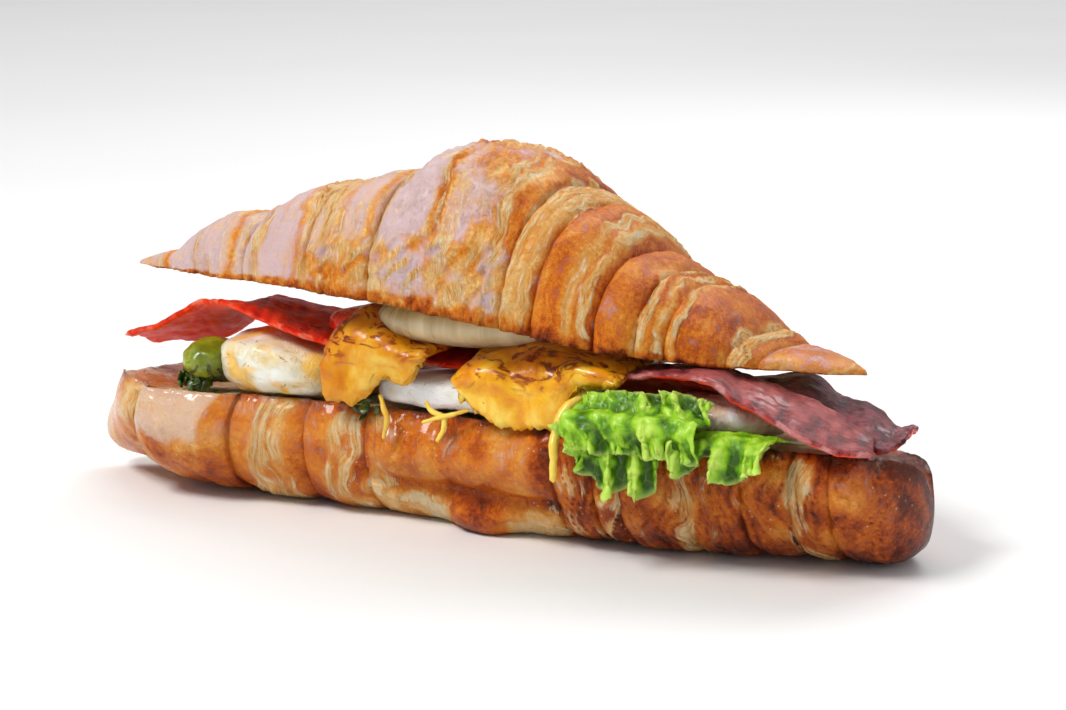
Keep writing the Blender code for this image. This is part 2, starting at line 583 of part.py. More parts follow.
def build():
    clear_scene()
    parts = make_collection("bacon_croissant")
    cutters = make_collection("cutters")
    cutters.hide_render = True

    left, right = LOWER_ENDS
    tips = [left + step for step in TIP_STEPS] + [right - step for step in TIP_STEPS]
    tips += KNOB_RINGS
    rings = sorted(tips + stations_of([band[0] for band in LOWER_BANDS], right - TIP_STEPS[-1]))
    lower = bread("croissant_lower", rings, LOWER_ENDS, lower_section, "lower_crust", parts)
    rings = stations_of([band[0] for band in UPPER_BANDS], UPPER_ENDS[1])
    upper = bread("croissant_upper", rings, UPPER_ENDS, upper_section, "crust", parts)
    bacon_left = bacon("bacon_left", BACON_LEFT_NEAR, BACON_LEFT_FAR, 2.0, 0.4, parts, along=26)
    bacon_right = bacon("bacon_right", BACON_RIGHT_NEAR, BACON_RIGHT_FAR, 2.5, 0.4, parts)
    bacon_back = bacon("bacon_back", BACON_BACK_NEAR, BACON_BACK_FAR, 3.0, 0.6, parts)
    bacon_under = bacon("bacon_under", BACON_UNDER_NEAR, BACON_UNDER_FAR, 1.0, 0.3, parts, along=6)
    egg_left = blob("egg_left", EGG_LEFT, "egg", parts)
    egg_middle = blob("egg_middle", EGG_MIDDLE, "egg", parts)
    egg_right = blob("egg_right", EGG_RIGHT, "egg", parts)
    onion = blob("onion", ONION, "onion", parts)
    red_pepper = blob("red_pepper", RED_PEPPER, "red_pepper", parts, 8, 14)
    green_pepper = blob("green_pepper", GREEN_PEPPER, "green_pepper", parts, 8, 14)
    cheese_left = cheese("cheese_left", CHEESE_LEFT_X, CHEESE_LEFT_TOP, CHEESE_LEFT_LOW,
                         CHEESE_LEFT_FRONT, parts, 12, 1.3)
    cheese_right = cheese("cheese_right", CHEESE_RIGHT_X, CHEESE_RIGHT_TOP, CHEESE_RIGHT_LOW,
                          CHEESE_RIGHT_FRONT, parts, 16, 2.6)
    leaf = hanging_leaf(parts)
    curl = curled_leaf(parts)
    for thin in (bacon_left, bacon_right, bacon_back, bacon_under, cheese_left, cheese_right, leaf, curl):
        settle(thin)
    fuse(cheese_left, [strand("shred_left", SHRED_LEFT, SHRED_THICK, parts)])
    fuse(cheese_right, [strand("shred_middle", SHRED_MIDDLE, SHRED_THICK, parts),
                        strand("drip", DRIP, DRIP_THICK, parts)])

    grown = {obj.name: grown_copy(obj, cutters) for obj in parts.objects}
    carve(bacon_left, [lower, upper], grown)
    carve(bacon_right, [lower, upper], grown)
    carve(bacon_back, [lower, upper, bacon_right], grown)
    carve(bacon_under, [lower, bacon_right, bacon_back], grown)
    carve(onion, [upper, bacon_left], grown)
    carve(red_pepper, [upper, onion, bacon_left], grown)
    carve(egg_left, [lower, bacon_left, red_pepper], grown)
    carve(egg_middle, [lower, bacon_left], grown)
    carve(egg_right, [lower, bacon_right, bacon_back, bacon_under], grown)
    carve(green_pepper, [lower, egg_left, bacon_left], grown)
    carve(cheese_left, [lower, upper, bacon_left, onion, red_pepper, egg_left, egg_middle], grown)
    carve(cheese_right, [lower, upper, bacon_left, bacon_right, onion, egg_middle], grown)
    carve(leaf, [lower, bacon_under, egg_right], grown)
    for cutter in grown.values():
        bpy.data.objects.remove(cutter)

    stand_on_origin([obj for obj in parts.objects])
    bpy.data.collections.remove(cutters)


if __name__ == "__main__":
    build()
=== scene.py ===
"""Looks of the bacon croissant: crust, egg, bacon, cheese, onion, peppers and lettuce in fine detail.

Sizes are in millimetres, in the solids' own coordinates; SHIFT moves them onto the frame.
"""

import math

import bpy
import numpy as np
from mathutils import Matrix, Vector, noise


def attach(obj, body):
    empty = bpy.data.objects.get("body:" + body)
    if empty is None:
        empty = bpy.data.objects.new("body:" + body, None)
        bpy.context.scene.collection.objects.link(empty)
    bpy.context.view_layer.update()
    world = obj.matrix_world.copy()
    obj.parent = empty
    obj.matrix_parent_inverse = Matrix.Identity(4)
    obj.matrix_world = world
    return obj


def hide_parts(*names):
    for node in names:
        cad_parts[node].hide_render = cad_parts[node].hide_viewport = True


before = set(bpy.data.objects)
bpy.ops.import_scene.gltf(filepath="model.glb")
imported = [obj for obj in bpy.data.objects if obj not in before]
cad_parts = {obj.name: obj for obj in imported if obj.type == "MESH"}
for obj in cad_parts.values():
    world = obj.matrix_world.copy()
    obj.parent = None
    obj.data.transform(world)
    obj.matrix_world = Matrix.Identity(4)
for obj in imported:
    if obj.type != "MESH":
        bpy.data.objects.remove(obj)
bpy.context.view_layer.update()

MM = 0.001
SHIFT = np.array((-1.75, 2.36, 0.0))
FINE = 1.0

# The lower half: its plan, its cut, its flat base and the bands of dough along it
FRONT_RIM = 26
RIM_Y = -30
LOWER_TILT = ((-100, 0.1), (60, 0.1), (85, 0.15), (104, 0.15))
LOWER_ENDS = (-100.5, 104)
LOWER_FRONT = ((-100.5, 0), (-99.5, -3), (-97.5, -7), (-95, -11), (-91.5, -15.5), (-88, -19.5), (-83.5, -24),
               (-77, -28), (-70, -30), (-62, -29.5), (-46, -26), (-25, -25), (-1, -25), (16, -29), (41, -34),
               (62, -34), (80, -32.5), (89, -30.5), (96, -27), (100.5, -22.5), (103, -17), (104, -11))
LOWER_BACK = ((-100.5, 0), (-99.5, 1.2), (-96, 3.4), (-90, 7.6), (-80, 15.5), (-65, 23), (-45, 30), (0, 37),
              (40, 34), (66, 27), (80, 18.5), (90, 10), (96, 3), (100.5, -3), (103, -7), (104, -9.5))
LOWER_FOOT = ((-100.5, 0.5), (-93, 2), (-88, 3), (-80, 4), (-70, 4), (-60, 1), (-44, -6), (-20, -8),
              (0, -10), (12, -11), (38, -12), (57, -10), (70, -8), (81, -3), (92, -3), (99, -7), (104, -10))
LOWER_HEEL = ((-100.5, 0.7), (-90, 5), (-80, 9), (-60, 14), (-40, 18), (0, 22), (40, 20), (66, 14),
              (84, 7), (96, -1), (104, -10))
LOWER_LIFT = ((-100.5, 9.5), (-99, 6.6), (-97, 5), (-93, 3.6), (-88, 3.2), (-80, 2.6), (-72, 1.2),
              (-60, 0), (90, 0), (96, 0.8), (100, 2.6), (102.5, 5.6), (104, 11))
LOWER_DROP = ((-100.5, 12), (-99, 9.6), (-97, 7.2), (-95, 5), (-92, 2.4), (-88, -0.4), (-83, -1.8),
              (-75, -0.8), (-68, 0), (96, 0), (100, 0.8), (102.5, 3), (104, 9))
LOWER_TUCK = ((-100.5, 0.7), (-94, 0.5), (-88, 0.25), (-80, 0), (92, 0), (99, 0.12), (104, 0.5))
LOWER_BANDS = ((-100.5, -0.8), (-72, 1.3), (-50, 0), (-33, 0.6), (-18, 1.4), (29, 0.1), (38, -0.5),
               (44, 0.6), (58, 0.5), (70, -0.2), (80, 0), (88, 0.9))
LOWER_LEAN = ((-100.5, 0), (-88, 0.2), (-72, 0.27), (-50, 0.2), (-20, 0.04), (104, 0))
CREASE_DEPTH = 2.6
KNOB = (8, 13, 5, 6.6, 4.2)
SHOULDER = (2.6, 0.2)
ROLL = (-20, 31, 2.2, 3)
CORNER_SHARE = 0.4

# The upper half
UPPER_ENDS = (-90.5, 86)
UPPER_RIM = ((-90.5, 48.5), (-64, 49.8), (-32, 50.8), (-5, 50.1), (12, 48.8), (24, 46.8), (40, 43.7),
             (60, 41), (86, 37))
UPPER_TILT = 0.15
UPPER_HALF = ((-90.5, 0), (-78, 8.5), (-64, 16), (-50, 22), (-32, 28), (-5, 34.5), (13, 37.5), (24, 37.2),
              (40, 33.5), (59, 25.5), (67, 19), (74, 12), (80, 7.5), (86, 0))
UPPER_BACK_SHARE = 1.06
UPPER_HOLLOW = 4
UPPER_BANDS = ((-90.5, -77, 49.2, 53.2, 0.3), (-77, -50.5, 54.4, 64.2, 2.8), (-50.5, -31, 64, 72.4, 1),
               (-31, -13.5, 71.4, 75.6, 0), (-13.5, 22.5, 74, 76.2, 6.6), (22.5, 29, 73.8, 70.6, 0),
               (29, 39.5, 70.6, 62.2, 1.2), (39.5, 47, 61, 57.4, 0.2), (47, 52.5, 57.2, 54.8, 0),
               (52.5, 63.5, 55.4, 46.8, 0.4), (63.5, 68.5, 45.6, 42.8, 0), (68.5, 86, 42.4, 38, 0.8))
APRON = (-36, 25, 0.12, 1.3)

# How far the rolls lean at the rim, away from the middle
UPPER_LEAN = ((-90.5, 0), (12, 0), (24, 3.4), (33, 3.2), (41, 1), (60, 0.6), (86, 0))

# Baking of the upper half's crust along it: stretch, browning, bare flaky layers, painted pink sheen
# standing in for reflected light
UPPER_BAKE = ((-91, -79, 0.36, 0.25, 0.7), (-79, -77, 0.46, 0.25, 0.2), (-77, -67, 0.26, 0.1, 1),
              (-67, -55.5, 0.3, 0.3, 0.85), (-55.5, -53, 0.5, 0.2, 0.3), (-53, -44, 0.26, 0.45, 0.8),
              (-44, -34.6, 0.34, 0.15, 0.85), (-34.6, -32.6, 0.48, 0.2, 0.4), (-32, -23, 0.28, 0.6, 0.55),
              (-23, -21.2, 0.46, 0.3, 0.4), (-21.2, -15.2, 0.36, 0.25, 0.75), (-15.2, -13.4, 0.46, 0.3, 0.3),
              (-13.4, -8, 0.24, 0.3, 0.95), (-8, 2.5, 0.26, 0.15, 1), (2.5, 4.5, 0.48, 0.3, 0.3),
              (4.5, 17.5, 0.38, 0.25, 0.6), (17.5, 18.8, 0.28, 0.7, 0.3), (18.8, 22.3, 0.5, 0.1, 0.1),
              (22.3, 29.2, 0.36, 0.62, 0), (29.2, 34.4, 0.55, 0, 0.15), (34.4, 36.2, 0.36, 0.7, 0),
              (36.2, 36.9, 0.56, 0.2, 0), (36.9, 38.4, 0.32, 0.8, 0), (38.4, 39.6, 0.58, 0.1, 0),
              (39.6, 46.8, 0.57, 0, 0.2), (46.8, 48.9, 0.3, 0.8, 0.1), (48.9, 50.2, 0.56, 0.1, 0),
              (50.2, 51.6, 0.36, 0.7, 0), (51.6, 53, 0.54, 0.1, 0.1), (53, 54.3, 0.32, 0.8, 0.1),
              (54.3, 63.2, 0.58, 0.05, 0.15), (63.2, 66.8, 0.3, 0.7, 0), (66.8, 69, 0.56, 0.1, 0),
              (69, 82, 0.5, 0.1, 0.4), (82, 87, 0.48, 0.4, 0.1))
# The same for the lower half
LOWER_BAKE = ((-101, -84, 0.38, 0.2, 0.55), (-84, -78, 0.46, 0.1, 0.5), (-78, -72, 0.32, 0.45, 0.5),
              (-72, -55, 0.4, 0.05, 0.95), (-55, -44.5, 0.5, 0.05, 0.4), (-44.5, -40, 0.24, 0.95, 0.6),
              (-40, -35.5, 0.3, 0.85, 0.4), (-35.5, -28.5, 0.47, 0, 0.25), (-28.5, -25.5, 0.34, 0.75, 0.3),
              (-25.5, -20, 0.38, 0.5, 0.3), (-20, -17.5, 0.5, 0.2, 0.1), (-17.5, -13, 0.36, 0.55, 0.2),
              (-13, 26, 0.46, 0.12, 0.15), (26, 30, 0.6, 0.1, 0), (30, 36.5, 0.5, 0.3, 0),
              (36.5, 38.5, 0.64, 0.1, 0), (38.5, 43.5, 0.5, 0.3, 0), (43.5, 45, 0.66, 0, 0),
              (45, 56, 0.5, 0.2, 0), (56, 60.5, 0.4, 0.6, 0), (60.5, 68, 0.5, 0.15, 0),
              (68, 72, 0.6, 0.1, 0), (72, 78.5, 0.44, 0.4, 0), (78.5, 80.5, 0.6, 0.1, 0),
              (80.5, 85.5, 0.4, 0.5, 0), (85.5, 88, 0.62, 0.1, 0), (88, 98, 0.5, 0, 0.2),
              (98, 105, 0.64, 0, 0))

# Bacon slices: near and far edges
BACON_THICK = 1.9
BACON = {
    "bacon_left": (((-87, -12, 33.8), (-77.7, -14, 36.6), (-69, -17, 41.2), (-61, -19, 45),
                    (-55.5, -20.5, 45), (-45, -22.5, 42.4), (-35, -23, 39.4), (-27, -22, 37.6),
                    (-12, -20, 35.8), (3, -20, 35.2), (14, -18, 34.6)),
                   ((-91, 5, 28.8), (-83, 6, 30.4), (-76, 7, 31), (-70, 8, 32.4), (-65, 9, 36),
                    (-59, 10, 40.6), (-50, 11, 40), (-38, 11, 38.8), (-22, 11, 37), (-4, 12, 34.6),
                    (14, 12, 33.4)), 2, 0.4),
    "bacon_right": (((38.5, -27, 35.6), (46, -29.5, 38.2), (53, -31, 39.8), (60.8, -32, 39.9),
                     (69.5, -34, 36.6), (76, -35.5, 34.4), (83, -36.5, 31.6), (91, -37, 28.6),
                     (98, -33, 27.6)),
                    ((34, -7, 34.2), (44, -8, 36.4), (54, -9, 37.4), (64, -11, 36.8), (74, -13, 34.8),
                     (84, -15, 31.4), (93, -16, 28)), 2.5, 0.4),
    "bacon_back": (((46, -2, 31.2), (58, -6, 32.6), (70, -9, 31.8), (80, -12, 29.2), (89, -18, 26.6),
                    (95, -20, 25.8), (98.5, -13, 26.8)),
                   ((44, 15, 30.2), (58, 14, 31.6), (70, 12, 32.8), (78, 10, 29.8), (86, 7, 27.8),
                    (93, 3, 26.2), (98.5, -5, 26.8)), 3, 0.6),
    "bacon_under": (((34, -15, 34.6), (44, -18, 36.6), (54, -22, 37.4), (60, -23, 36.4), (68, -18, 34.4)),
                    ((24, 16, 22.4), (36, 17, 22.6), (48, 16, 23.6), (60, 14, 26), (68, 10, 27)),
                    1.5, 0.5),
}

# Egg, onion and peppers: centre, half-size, roundness, lump height; z counts from the lower cut
LUMPS = {
    "egg_left": ((-42.4, 0.5, 6.8), (17.3, 27.2, 7.8), 3, 0.5),
    "egg_middle": ((3.5, 2, 4.4), (23.5, 27.5, 4.2), 4, 0.4),
    "egg_right": ((61.5, -8, 5.4), (12.8, 23, 4.6), 2.6, 0.4),
    "onion": ((3.5, -1, 19.4), (25, 28.5, 5.6), 2.6, 0),
    "red_pepper": ((-23.5, -4.5, 17.2), (9.5, 16.5, 3.8), 2.6, 0.3),
    "green_pepper": ((-62.6, -11.5, 6), (6.2, 10.5, 4.8), 2.4, 0.4),
}

# Melted cheese: stretch, top line, hem, front, seed
CHEESE_THICK = 3.2
CHEESE_BACK_Y = 14
CHEESE = {
    "cheese_left": ((-26, -2.8),
                    ((-26, 40.5), (-23, 43.4), (-18.5, 46), (-14, 45.4), (-9, 42.2), (-2.8, 39.4)),
                    ((-26, 27), (-19, 26.4), (-16.5, 28.4), (-13, 31.6), (-7, 32.6), (-2.8, 37)),
                    -28, 1.3),
    "cheese_right": ((7, 43),
                     ((7, 36.4), (10, 39.8), (18, 41.6), (30, 41.4), (36, 40.4), (43, 38.8)),
                     ((7, 31.5), (11, 28.4), (16, 26.8), (29, 26.6), (31.5, 31), (35, 36), (43, 37.2)),
                     -31, 2.6),
}
DRIP = ((40, -24, 37.4), (37, -28, 35), (33.6, -31.5, 32.4), (31.8, -34.4, 28.6),
        (32.2, -38, 24), (32.6, -38.6, 17.8))
SHRED_LEFT = ((-13.4, -26.5, 29), (-11.6, -28.8, 27), (-10.4, -29.4, 24.4), (-11.2, -29.8, 20.6))
SHRED_MIDDLE = ((-2, -27.5, 28.6), (0.6, -29.8, 27.4), (3.2, -29.6, 26.2), (3.4, -30.2, 24.2),
                (2.2, -30.6, 21.4))
SHRED_SIDE = ((8.5, -28.5, 28.2), (5.4, -30, 27.2), (2.6, -30.2, 26.4), (-1.4, -30.4, 25))
SHRED_THICK = 0.7
DRIP_THICK = 1.2

# Lettuce
LEAF_THICK = 0.8
LEAF_X = (33, 79)
LEAF_INSIDE = 0.35  # share of the leaf that lies on the bread
LEAF_HEM = ((33, 29), (35, 27), (38, 22.5), (41, 18.6), (45.5, 15.4), (50, 18), (53, 15.8),
            (55, 18), (56.4, 27), (58.4, 28.6), (59.6, 23.5), (61.8, 20.8), (64, 23.6), (65.8, 25.4),
            (68, 21.8), (70.5, 20), (74, 22.6), (77, 23.6), (79, 29))
CURL_X = (36, 65)
CURL_TOP = ((36, 34.4), (39, 35.8), (43, 36.4), (48, 37), (53, 36.6), (58, 36.8), (65, 35))
CURL_PATH = ((-8.4, 26), (-9.2, 30), (-7, 33), (-3.6, 32.4), (-0.4, 36))

# Cheese: how its tone is levelled, and its strands; herbs: middle, reach, count, size, solid
CHEESE_FINISH = {
    "cheese_left": ((0.84, 0.76, 0.6), ((SHRED_LEFT, SHRED_THICK),)),
    "cheese_right": ((1.0, 0.98, 0.8), ((SHRED_MIDDLE, SHRED_THICK), (SHRED_SIDE, 0.8 * SHRED_THICK),
                                        (DRIP, DRIP_THICK))),
}
HERBS = {
    "herbs_left": ((-64.2, -17.0, 26.2), (2.5, 2.0, 1.1), 60, 1.6, "green_pepper"),
    "herbs_middle": ((-19.0, -24.8, 26.2), (1.7, 0.9, 1.0), 22, 1.2, "egg_middle"),
}

# Camera and light
AZIMUTH, ELEVATION, DISTANCE = 25, 11, 0.6
TARGET = (0.01, 0, 0.035)
FOCAL_PX, PHOTO_WIDE = 2760.0, 1066
SENSOR = 36.0
# Soft lights: azimuth, elevation, distance, size, power, colour, the point they look at
LIGHTS = {
    "window": (-30, 50, 0.9, 0.28, 6.3, (1.0, 0.985, 0.97), (0.0, 0.0, 0.04)),
    "fill": (60, 25, 1.0, 0.7, 1.3, (0.97, 0.98, 1.0), (0.0, 0.0, 0.04)),
    "back": (170, 40, 0.9, 0.5, 2.8, (0.97, 0.98, 1.0), (0.0, 0.0, 0.04)),
    "far": (0, 90, 1.4, 1.8, 15.0, (1.0, 1.0, 1.0), (-0.5, 1.3, 0.0)),
}
SKY_STRENGTH = 0.37
FLOOR_REACH = 3.0

# Colours of the dough, from pale to dark: its skin, its bare layers, its crumb
CRUST_TONES = ((0.0, (0.98, 0.78, 0.46)), (0.2, (0.95, 0.55, 0.17)), (0.4, (0.86, 0.31, 0.03)),
               (0.62, (0.7, 0.155, 0.006)), (0.8, (0.42, 0.06, 0.003)), (1.0, (0.12, 0.016, 0.003)))
FLAKE_TONES = ((0.37, (0.74, 0.19, 0.014)), (0.47, (0.9, 0.4, 0.07)), (0.56, (0.96, 0.66, 0.29)),
               (0.68, (1.0, 0.89, 0.68)))
CRUMB_TONES = ((0.25, (0.62, 0.27, 0.07)), (0.5, (0.86, 0.57, 0.25)), (0.8, (0.94, 0.77, 0.45)))

# Bacon: meat from dark to light, two tones of fat, how wet it is
RED_MEAT = ((0.32, 0.008, 0.003), (0.68, 0.018, 0.005), (0.9, 0.05, 0.014))
MAUVE_MEAT = ((0.1, 0.01, 0.012), (0.26, 0.03, 0.032), (0.42, 0.085, 0.08))
DARK_MEAT = ((0.045, 0.006, 0.01), (0.14, 0.018, 0.026), (0.28, 0.055, 0.07))
BACON_FINISH = {
    "bacon_left": (RED_MEAT, ((0.92, 0.07, 0.02), (0.92, 0.26, 0.16)), 0.07),
    "bacon_right": (MAUVE_MEAT, ((0.42, 0.1, 0.09), (0.66, 0.3, 0.3)), 0.35),
    "bacon_back": (DARK_MEAT, ((0.3, 0.05, 0.05), (0.5, 0.2, 0.22)), 0.35),
    "bacon_under": (DARK_MEAT, ((0.4, 0.03, 0.02), (0.55, 0.05, 0.03)), 0.1),
}

# Egg: its whites from dark to light, share of yolk, how wet it is, its unevenness, how far it sinks
EGG_FINISH = {
    "egg_left": (((0.62, 0.46, 0.2), (0.76, 0.7, 0.5), (0.8, 0.82, 0.76)), 0.85, 0.25,
                 ((9.0, 1.3), (3.5, 0.5), (1.4, 0.15)), 1.8),
    "egg_middle": (((0.78, 0.8, 0.7), (0.9, 0.93, 0.92), (0.95, 0.98, 1.0)), 0.25, 0.35,
                   ((6.0, 0.8), (2.0, 0.3)), 0.0),
    "egg_right": (((0.4, 0.22, 0.1), (0.78, 0.66, 0.58), (0.96, 0.95, 0.98)), 0.2, 0.6,
                  ((6.0, 0.9), (2.0, 0.3)), 0.0),
}
# Peppers: skin, deeper skin, how charred, unevenness
PEPPER_FINISH = {
    "red_pepper": ((0.85, 0.03, 0.012), (0.6, 0.012, 0.006), 0.2, ((2.5, 0.15),)),
    "green_pepper": ((0.3, 0.36, 0.014), (0.11, 0.16, 0.006), 0.95, ((5.0, 1.0), (2.0, 0.35))),
}


def curve(x, stations):
    """Value at x of a smooth curve through (position, value) stations that never overshoots them."""
    xs, ys = np.array(stations, float).T
    step = np.diff(xs)
    slope = np.diff(ys) / step
    tangent = np.zeros(len(xs))
    both = slope[:-1] * slope[1:]
    total = slope[:-1] + slope[1:]
    tangent[1:-1] = np.where(both > 0, 2 * both / np.where(both > 0, total, 1), 0)
    tangent[0], tangent[-1] = slope[0], slope[-1]
    k = np.clip(np.searchsorted(xs, x) - 1, 0, len(step) - 1)
    t = np.clip((x - xs[k]) / step[k], 0, 1)
    rise = ys[k] + (ys[k + 1] - ys[k]) * t * t * (3 - 2 * t)
    return rise + step[k] * (tangent[k] * t * (1 - t) ** 2 - tangent[k + 1] * t * t * (1 - t))


def field(points, size, seed=0.0):
    """Soft noise from -1 to 1 at each point, its lumps about size across, the same each way or not."""
    moved = points.reshape(-1, 3) / np.array(size) + np.array((seed, seed * 1.7, -seed))
    return np.array([noise.noise(p) for p in moved.tolist()]).reshape(points.shape[:-1])


def plates(points, size, seed=0.0):
    """Flat scales about size across: for each point its scale's random height, and how near its edge is."""
    moved = points.reshape(-1, 3) / np.array(size) + seed
    height, edge = [], []
    for p in moved.tolist():
        distances, centres = noise.voronoi(p)
        height.append(noise.cell(Vector(centres[0]) * 7.3))
        edge.append(distances[1] - distances[0])
    shape = points.shape[:-1]
    return np.array(height).reshape(shape), np.array(edge).reshape(shape)


def smooth(value, low, high):
    """From 0 at low to 1 at high, softly; low may be the larger number."""
    t = np.clip((value - low) / (high - low), 0, 1)
    return t * t * (3 - 2 * t)


def spot(value, centre, half):
    """1 at centre, falling softly to 0 about half away."""
    return np.exp(-(((value - centre) / half) ** 2))


def band_at(x, starts, end):
    """Which band holds x, and how far through it x lies."""
    starts = np.array(starts, float)
    index = np.clip(np.searchsorted(starts, x, side="right") - 1, 0, len(starts) - 1)
    finish = np.append(starts[1:], end)[index]
    return index, np.clip((x - starts[index]) / (finish - starts[index]), 0, 1)


def pillow(share, sharpness):
    """0 at both ends of a band and 1 in its middle, steeper where sharpness is less."""
    return np.clip(4 * share * (1 - share), 0, None) ** sharpness


def zoned(x, table, soft=0.35):
    """Values of a table of stretches at x, blended softly where the stretches meet."""
    total = 1e-9  # keeps the sum above 0
    sums = [0.0] * (len(table[0]) - 2)
    for low, high, *values in table:
        weight = smooth(x, low - soft, low + soft) * (1 - smooth(x, high - soft, high + soft)) + 1e-6
        total = total + weight
        sums = [s + weight * v for s, v in zip(sums, values)]
    return [s / total for s in sums]


def signed_power(value, power):
    """A power that keeps the value's sign."""
    return np.copysign(np.abs(value) ** power, value)


def at(x, y, z=0.0):
    """Points from their coordinates; a plain number serves for all of them."""
    return np.stack(np.broadcast_arrays(x, y, z), -1)


def shares(rows, cols):
    """How far along and across each point of a sheet lies, from 0 to 1."""
    steps = [np.linspace(0, 1, int(count * FINE)) for count in (rows, cols)]
    return np.meshgrid(*steps, indexing="ij")


def add_piece(name, points, faces, values, finish, node):
    """A mesh piece with its named vertex values, its material, and the solid that it stands for."""
    mesh = bpy.data.meshes.new(name)
    mesh.from_pydata(((points + SHIFT) * MM).tolist(), [], faces)
    for label, value in values.items():
        kind, field_name = ("FLOAT_VECTOR", "vector") if value.ndim > 1 else ("FLOAT", "value")
        layer = mesh.attributes.new(label, kind, "POINT")
        layer.data.foreach_set(field_name, value.ravel().astype(np.float32))
    mesh.shade_smooth()
    mesh.materials.append(finish)
    piece = bpy.data.objects.new(name, mesh)
    bpy.context.scene.collection.objects.link(piece)
    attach(piece, "root")
    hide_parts(node)


def tube_faces(rings, around):
    """Faces of a closed form: rings of points one after another, then its first and last tip."""
    number = np.arange(rings * around).reshape(rings, around)
    after = np.roll(number, -1, axis=1)
    quads = np.stack([number[:-1], after[:-1], after[1:], number[1:]], -1).reshape(-1, 4)
    first, last = rings * around, rings * around + 1
    faces = quads.tolist()
    faces += [[first, b, a] for a, b in zip(number[0].tolist(), after[0].tolist())]
    faces += [[last, a, b] for a, b in zip(number[-1].tolist(), after[-1].tolist())]
    return faces


def outward(points, faces):
    """Turns the faces round if the form is inside out."""
    corners = np.array([face[:3] + face[-1:] for face in faces])
    a, b, c, d = points[corners].transpose(1, 0, 2)
    volume = (a * (np.cross(b, c) + np.cross(c, d))).sum()
    return faces if volume > 0 else [face[::-1] for face in faces]


def normals_of(grid):
    """Unit normals of a grid of points."""
    normal = np.cross(np.gradient(grid, axis=0), np.gradient(grid, axis=1))
    return normal / np.maximum(np.linalg.norm(normal, axis=-1, keepdims=True), 1e-9)


def sheet_piece(name, grid, thick, values, finish, node):
    """A thin closed form round a grid of points, with rounded rims; both faces have the same grid."""
    half = thick[..., None] / 2 * normals_of(grid)
    points = np.concatenate([(grid + half).reshape(-1, 3), (grid - half).reshape(-1, 3)])
    below = thick.size
    number = np.arange(below).reshape(thick.shape)
    quads = [number[:-1, :-1], number[:-1, 1:], number[1:, 1:], number[1:, :-1]]
    quads = np.stack(quads, -1).reshape(-1, 4)
    ring = np.concatenate([number[0], number[1:, -1], number[-1, -2::-1], number[-2:0:-1, 0]])
    after = np.roll(ring, -1)
    sides = np.stack([ring, below + ring, below + after, after], -1)
    faces = np.concatenate([quads, below + quads[:, ::-1], sides]).tolist()
    both = {label: np.tile(value.ravel(), 2) for label, value in values.items()}
    both["side"] = np.repeat((1.0, 0.0), below)
    add_piece(name, points, outward(points, faces), both, finish, node)


def rim_profile(u, v, width):
    """1 inside a sheet, falling to a thin rounded edge over the last width of each side."""
    edge = np.minimum(np.minimum(u, 1 - u) / width[0], np.minimum(v, 1 - v) / width[1])
    return np.sqrt(np.clip(1 - (1 - np.clip(edge, 0, 1)) ** 2, 0.02, 1))


class Tone:
    """A number that varies over a surface; arithmetic on it makes the shader's math nodes."""

    def __init__(self, shader, socket):
        self.shader = shader
        self.socket = socket

    def __add__(self, other):
        return self.shader.calc("ADD", self, other)

    def __sub__(self, other):
        return self.shader.calc("SUBTRACT", self, other)

    def __rsub__(self, other):
        return self.shader.calc("SUBTRACT", other, self)

    def __mul__(self, other):
        return self.shader.calc("MULTIPLY", self, other)

    def __abs__(self):
        return self.shader.calc("ABSOLUTE", self, 0.0)

    __radd__ = __add__
    __rmul__ = __mul__


